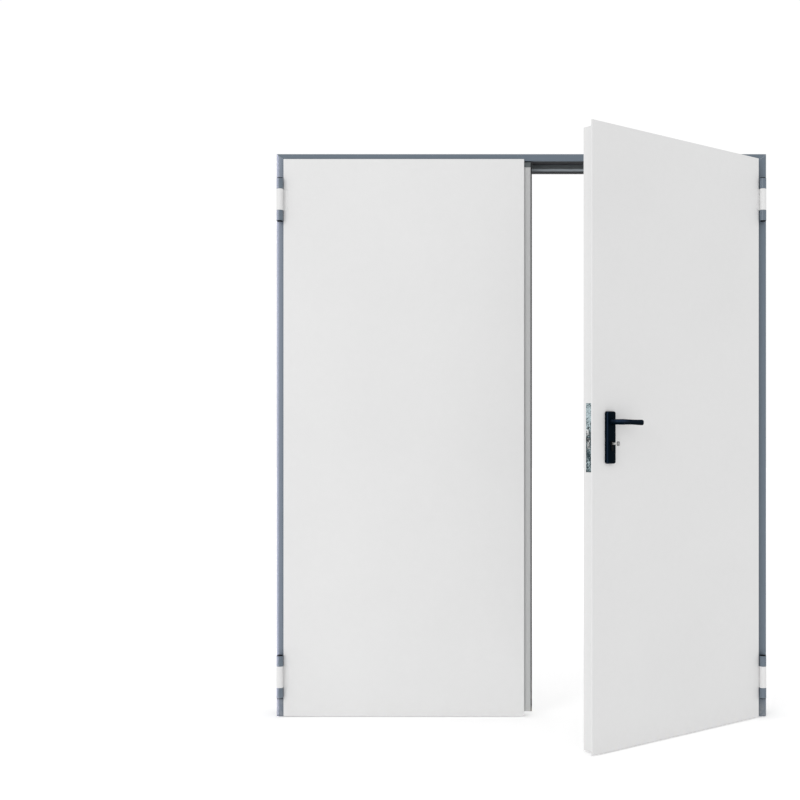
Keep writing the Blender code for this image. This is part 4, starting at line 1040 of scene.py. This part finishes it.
SKY = 0.885  # brightness of the white surroundings
FLOOR_GLOW = 0.20
KEY_POWER, KEY_ANGLE = 0.60, math.radians(22.0)
KEY_FROM = (-5.4, -8.4, 3.2)
STRIP_FROM = (-1.35, -0.03, -1.0)  # a narrow lamp beside the left jamb's rounded edge
STRIP_TO = (-0.920, -0.014, -1.0)
STRIP_SIZE = (0.05, 2.6)
STRIP_POWER, STRIP_SPREAD = 2.2, math.radians(9.0)
STRIP_TINT = (1.0, 0.77, 0.80)
STRIP_LIGHTS = ("frame_jamb_left", "hinge_left_lower_frame", "hinge_left_upper_frame")
BACKDROP = 1.02  # brightness of the background that the camera sees
FLOOR_REACH = 40.0
FLOOR_DROP = 0.0005
CAMERA_AT = (0.0, -4.726, FLOOR + 1.048)
LENS_MM = 56.36
LENS_SHIFT = (-0.15175, 0.0481)


def floor_material():
    """Pale studio floor with the faintest mottling and a weak even glow of its own."""
    material, w, shader = finish_start("studio_floor", Roughness=0.9, Specular_IOR_Level=0.1,
                                       Emission_Color=(1.0, 1.0, 1.0, 1.0), Emission_Strength=FLOOR_GLOW)
    mottle = w.noise(w.place(), 3.0, 4.0)
    mottled = w.mixed(mottle, (0.95, 0.95, 0.95, 1.0), (0.975, 0.975, 0.975, 1.0))
    w.feed(shader.inputs["Base Color"], mottled)
    return material


def lamp_object(name, lamp, spot, target):
    """Stands a lamp at a spot and points it at a target."""
    obj = bpy.data.objects.new(name, lamp)
    direction = np.array(target) - np.array(spot)
    back = -direction / np.linalg.norm(direction)
    right = np.cross([0.0, 0.0, 1.0], back)
    right = right / np.linalg.norm(right)
    turn = Matrix(np.array([right, np.cross(back, right), back]).T.tolist()).to_4x4()
    turn.translation = spot
    obj.matrix_world = turn
    bpy.context.scene.collection.objects.link(obj)
    return obj


def lay_floor():
    """A wide flat grid a hair under the doors' feet."""
    side = np.linspace(-FLOOR_REACH, FLOOR_REACH, 9)
    x, y = np.meshgrid(side, side, indexing="ij")
    points = np.stack([x, y, np.full_like(x, FLOOR - FLOOR_DROP)], axis=-1)
    verts, quads = skin(points, wrap=False, caps=False)[:2]
    mesh = bpy.data.meshes.new("studio_floor")
    mesh.from_pydata(verts.tolist(), [], quads.tolist())
    mesh.materials.append(floor_material())
    floor = bpy.data.objects.new("studio_floor", mesh)
    bpy.context.scene.collection.objects.link(floor)


def light_surroundings():
    """White all round, a little brighter where it is seen than where it lights."""
    world = bpy.data.worlds.new("studio")
    bpy.context.scene.world = world
    world.use_nodes = True
    w = Wiring(world.node_tree)
    background = world.node_tree.nodes["Background"]
    background.inputs["Color"].default_value = (1.0, 1.0, 1.0, 1.0)
    seen = w.node("ShaderNodeLightPath").outputs["Is Camera Ray"]
    w.feed(background.inputs["Strength"], w.span(seen, 0.0, 1.0, SKY, BACKDROP))


def hang_lamps():
    """A broad soft key from the front left, and a narrow strip that lights the left jamb alone."""
    key = bpy.data.lights.new("key_light", "SUN")
    key.energy, key.angle = KEY_POWER, KEY_ANGLE
    lamp_object("key_light", key, KEY_FROM, (0.0, 0.0, 0.0))
    strip = bpy.data.lights.new("side_strip", "AREA")
    strip.shape = "RECTANGLE"
    strip.size, strip.size_y = STRIP_SIZE
    strip.energy, strip.spread, strip.color = STRIP_POWER, STRIP_SPREAD, STRIP_TINT
    lamp = lamp_object("side_strip", strip, STRIP_FROM, STRIP_TO)
    lamp.visible_camera = False
    lamp.visible_glossy = False
    lit = bpy.data.collections.new("side_strip_lights")
    for node in STRIP_LIGHTS:
        lit.objects.link(bpy.data.objects[f"{node}_finished"])
    lamp.light_linking.receiver_collection = lit


def set_camera():
    """The camera at the height of the lock, level and square to the frame."""
    lens = bpy.data.cameras.new("camera")
    lens.lens = LENS_MM
    lens.sensor_width = 36.0
    lens.shift_x, lens.shift_y = LENS_SHIFT
    lens.clip_start, lens.clip_end = 0.05, 200.0
    camera = bpy.data.objects.new("camera", lens)
    camera.location = CAMERA_AT
    camera.rotation_euler = (math.pi / 2, 0.0, 0.0)
    bpy.context.scene.collection.objects.link(camera)
    bpy.context.scene.camera = camera
    bpy.context.scene.view_settings.view_transform = "Standard"
    bpy.context.scene.view_settings.look = "None"


paint_nodes()
softened_nodes()
stop_seals()
meeting_seal()
meeting_strip()
rebate_strips()
seal_rails()
fittings()
lay_floor()
light_surroundings()
hang_lamps()
set_camera()
